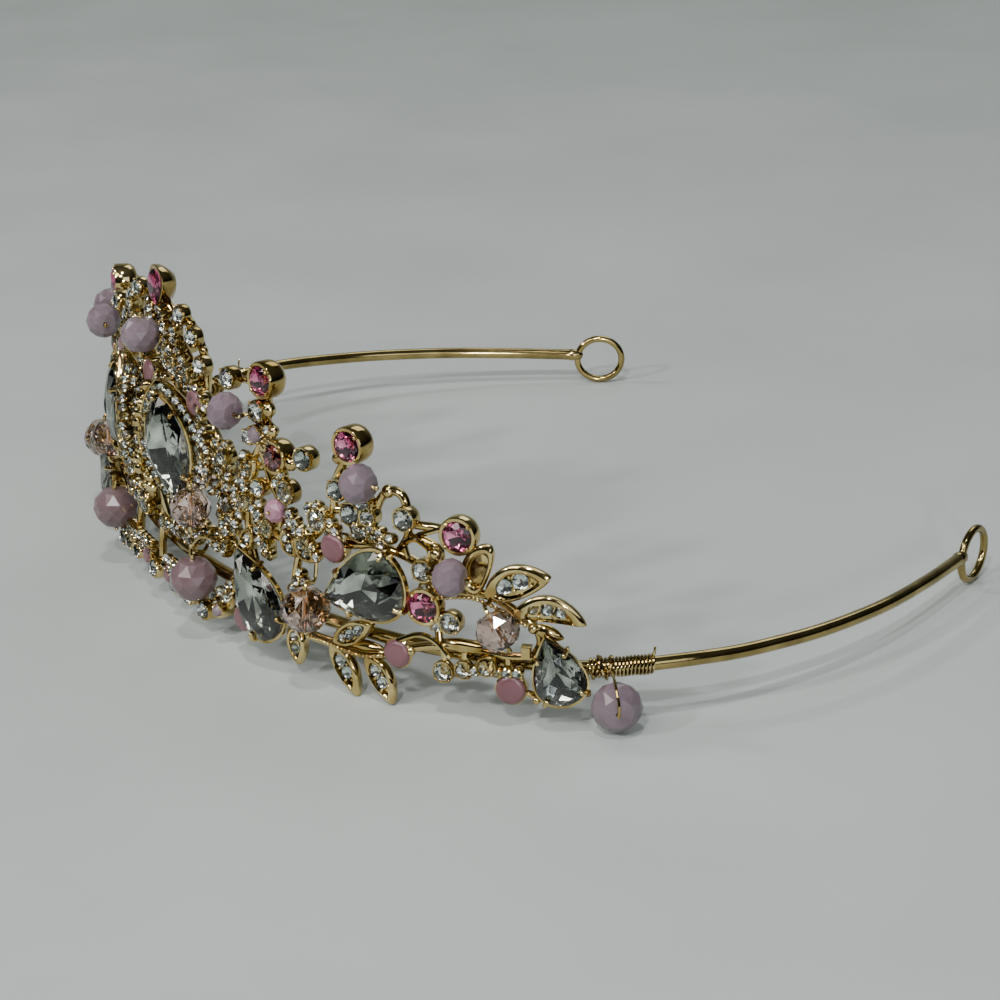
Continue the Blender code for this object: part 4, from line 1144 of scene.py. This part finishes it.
def camera_axes():
    """Right, up and viewing directions of the camera, tipped with the tiara."""
    level = math.cos(CAMERA_PITCH)
    look = Vector((-math.cos(CAMERA_YAW) * level, math.sin(CAMERA_YAW) * level, -math.sin(CAMERA_PITCH)))
    right = look.cross(Vector((0.0, 0.0, 1.0))).normalized()
    up = right.cross(look)
    turned_right = right * math.cos(CAMERA_ROLL) + up * math.sin(CAMERA_ROLL)
    turned_up = up * math.cos(CAMERA_ROLL) - right * math.sin(CAMERA_ROLL)
    tip = Matrix.Rotation(math.radians(REST_TILT_DEG), 3, "X")
    return tip @ turned_right, tip @ turned_up, tip @ look


def make_camera():
    """The camera at the photograph's place."""
    right, up, look = camera_axes()
    data = bpy.data.cameras.new("camera")
    data.lens = CAMERA_LENS
    data.sensor_width = CAMERA_SENSOR
    data.clip_start = 0.01
    data.clip_end = 20.0
    camera = put_in_scene("camera", data)
    turn = Matrix((right, up, -look)).transposed().to_4x4()
    turn.translation = POSE @ Vector(CAMERA_PLACE)
    camera.matrix_world = turn
    bpy.context.scene.camera = camera


def add_softbox(name, place, target, size, power, tint="#ffffff"):
    """A square area light aimed at a point."""
    data = bpy.data.lights.new(name, "AREA")
    data.size = size
    data.energy = power
    data.color = linear(tint)[:3]
    made = put_in_scene(name, data)
    made.location = place
    made.rotation_mode = "QUATERNION"
    made.rotation_quaternion = (Vector(target) - Vector(place)).to_track_quat("-Z", "Y")


# Small lights that make points of light in the cut stones: name, place in m, power
SPARKLES = (
    ("sparkle_right", (0.55, -0.45, 0.7), 4.2), ("sparkle_front", (0.1, -0.8, 0.5), 3.4),
    ("sparkle_high", (0.3, -0.2, 1.0), 3.8), ("sparkle_side", (0.9, -0.35, 0.25), 2.8),
    ("sparkle_left", (-0.5, -0.6, 0.6), 2.6),
)


def make_light():
    """Soft studio light: a broad key, a cool fill, a high back light and the small sparkle lights."""
    middle = (0.0, -0.03, 0.02)
    add_softbox("key", (0.25, -0.75, 0.85), middle, 0.4, 3.8, "#fff8ee")
    add_softbox("fill", (0.95, -0.1, 0.45), middle, 0.5, 1.4, "#eef4ff")
    add_softbox("back", (-0.5, 0.6, 0.9), middle, 0.6, 2.6, "#f4f8f6")
    for name, place, power in SPARKLES:
        add_softbox(name, place, middle, 0.05, power)
    world = bpy.data.worlds.new("room")
    world.use_nodes = True
    tree = world.node_tree
    ground = tree.nodes["Background"]
    place = add(tree, "ShaderNodeTexCoord")
    split = add(tree, "ShaderNodeSeparateXYZ", links={"Vector": place.outputs["Generated"]})
    tone = blend(tree, split.outputs["Z"], 0.1, 1.0, "#3c403d", "#dce2df")
    tree.links.new(tone, ground.inputs["Color"])
    ground.inputs["Strength"].default_value = 0.12
    bpy.context.scene.world = world


make_camera()
make_stage()
make_light()
dress_headband()
dress_wrap(1.0, "left")
dress_wrap(-1.0, "right")
dress_side(1.0, "left_casting")
dress_side(-1.0, "right_casting")
dress_centre()
bead, bead_u, bead_v, bead_d, bead_radius, bead_half = HANGING_BEAD
for hand in (1.0, -1.0):
    dress_bead(sided(bead, hand), seat(hand * bead_u, bead_v, bead_d), bead_radius, bead_half)
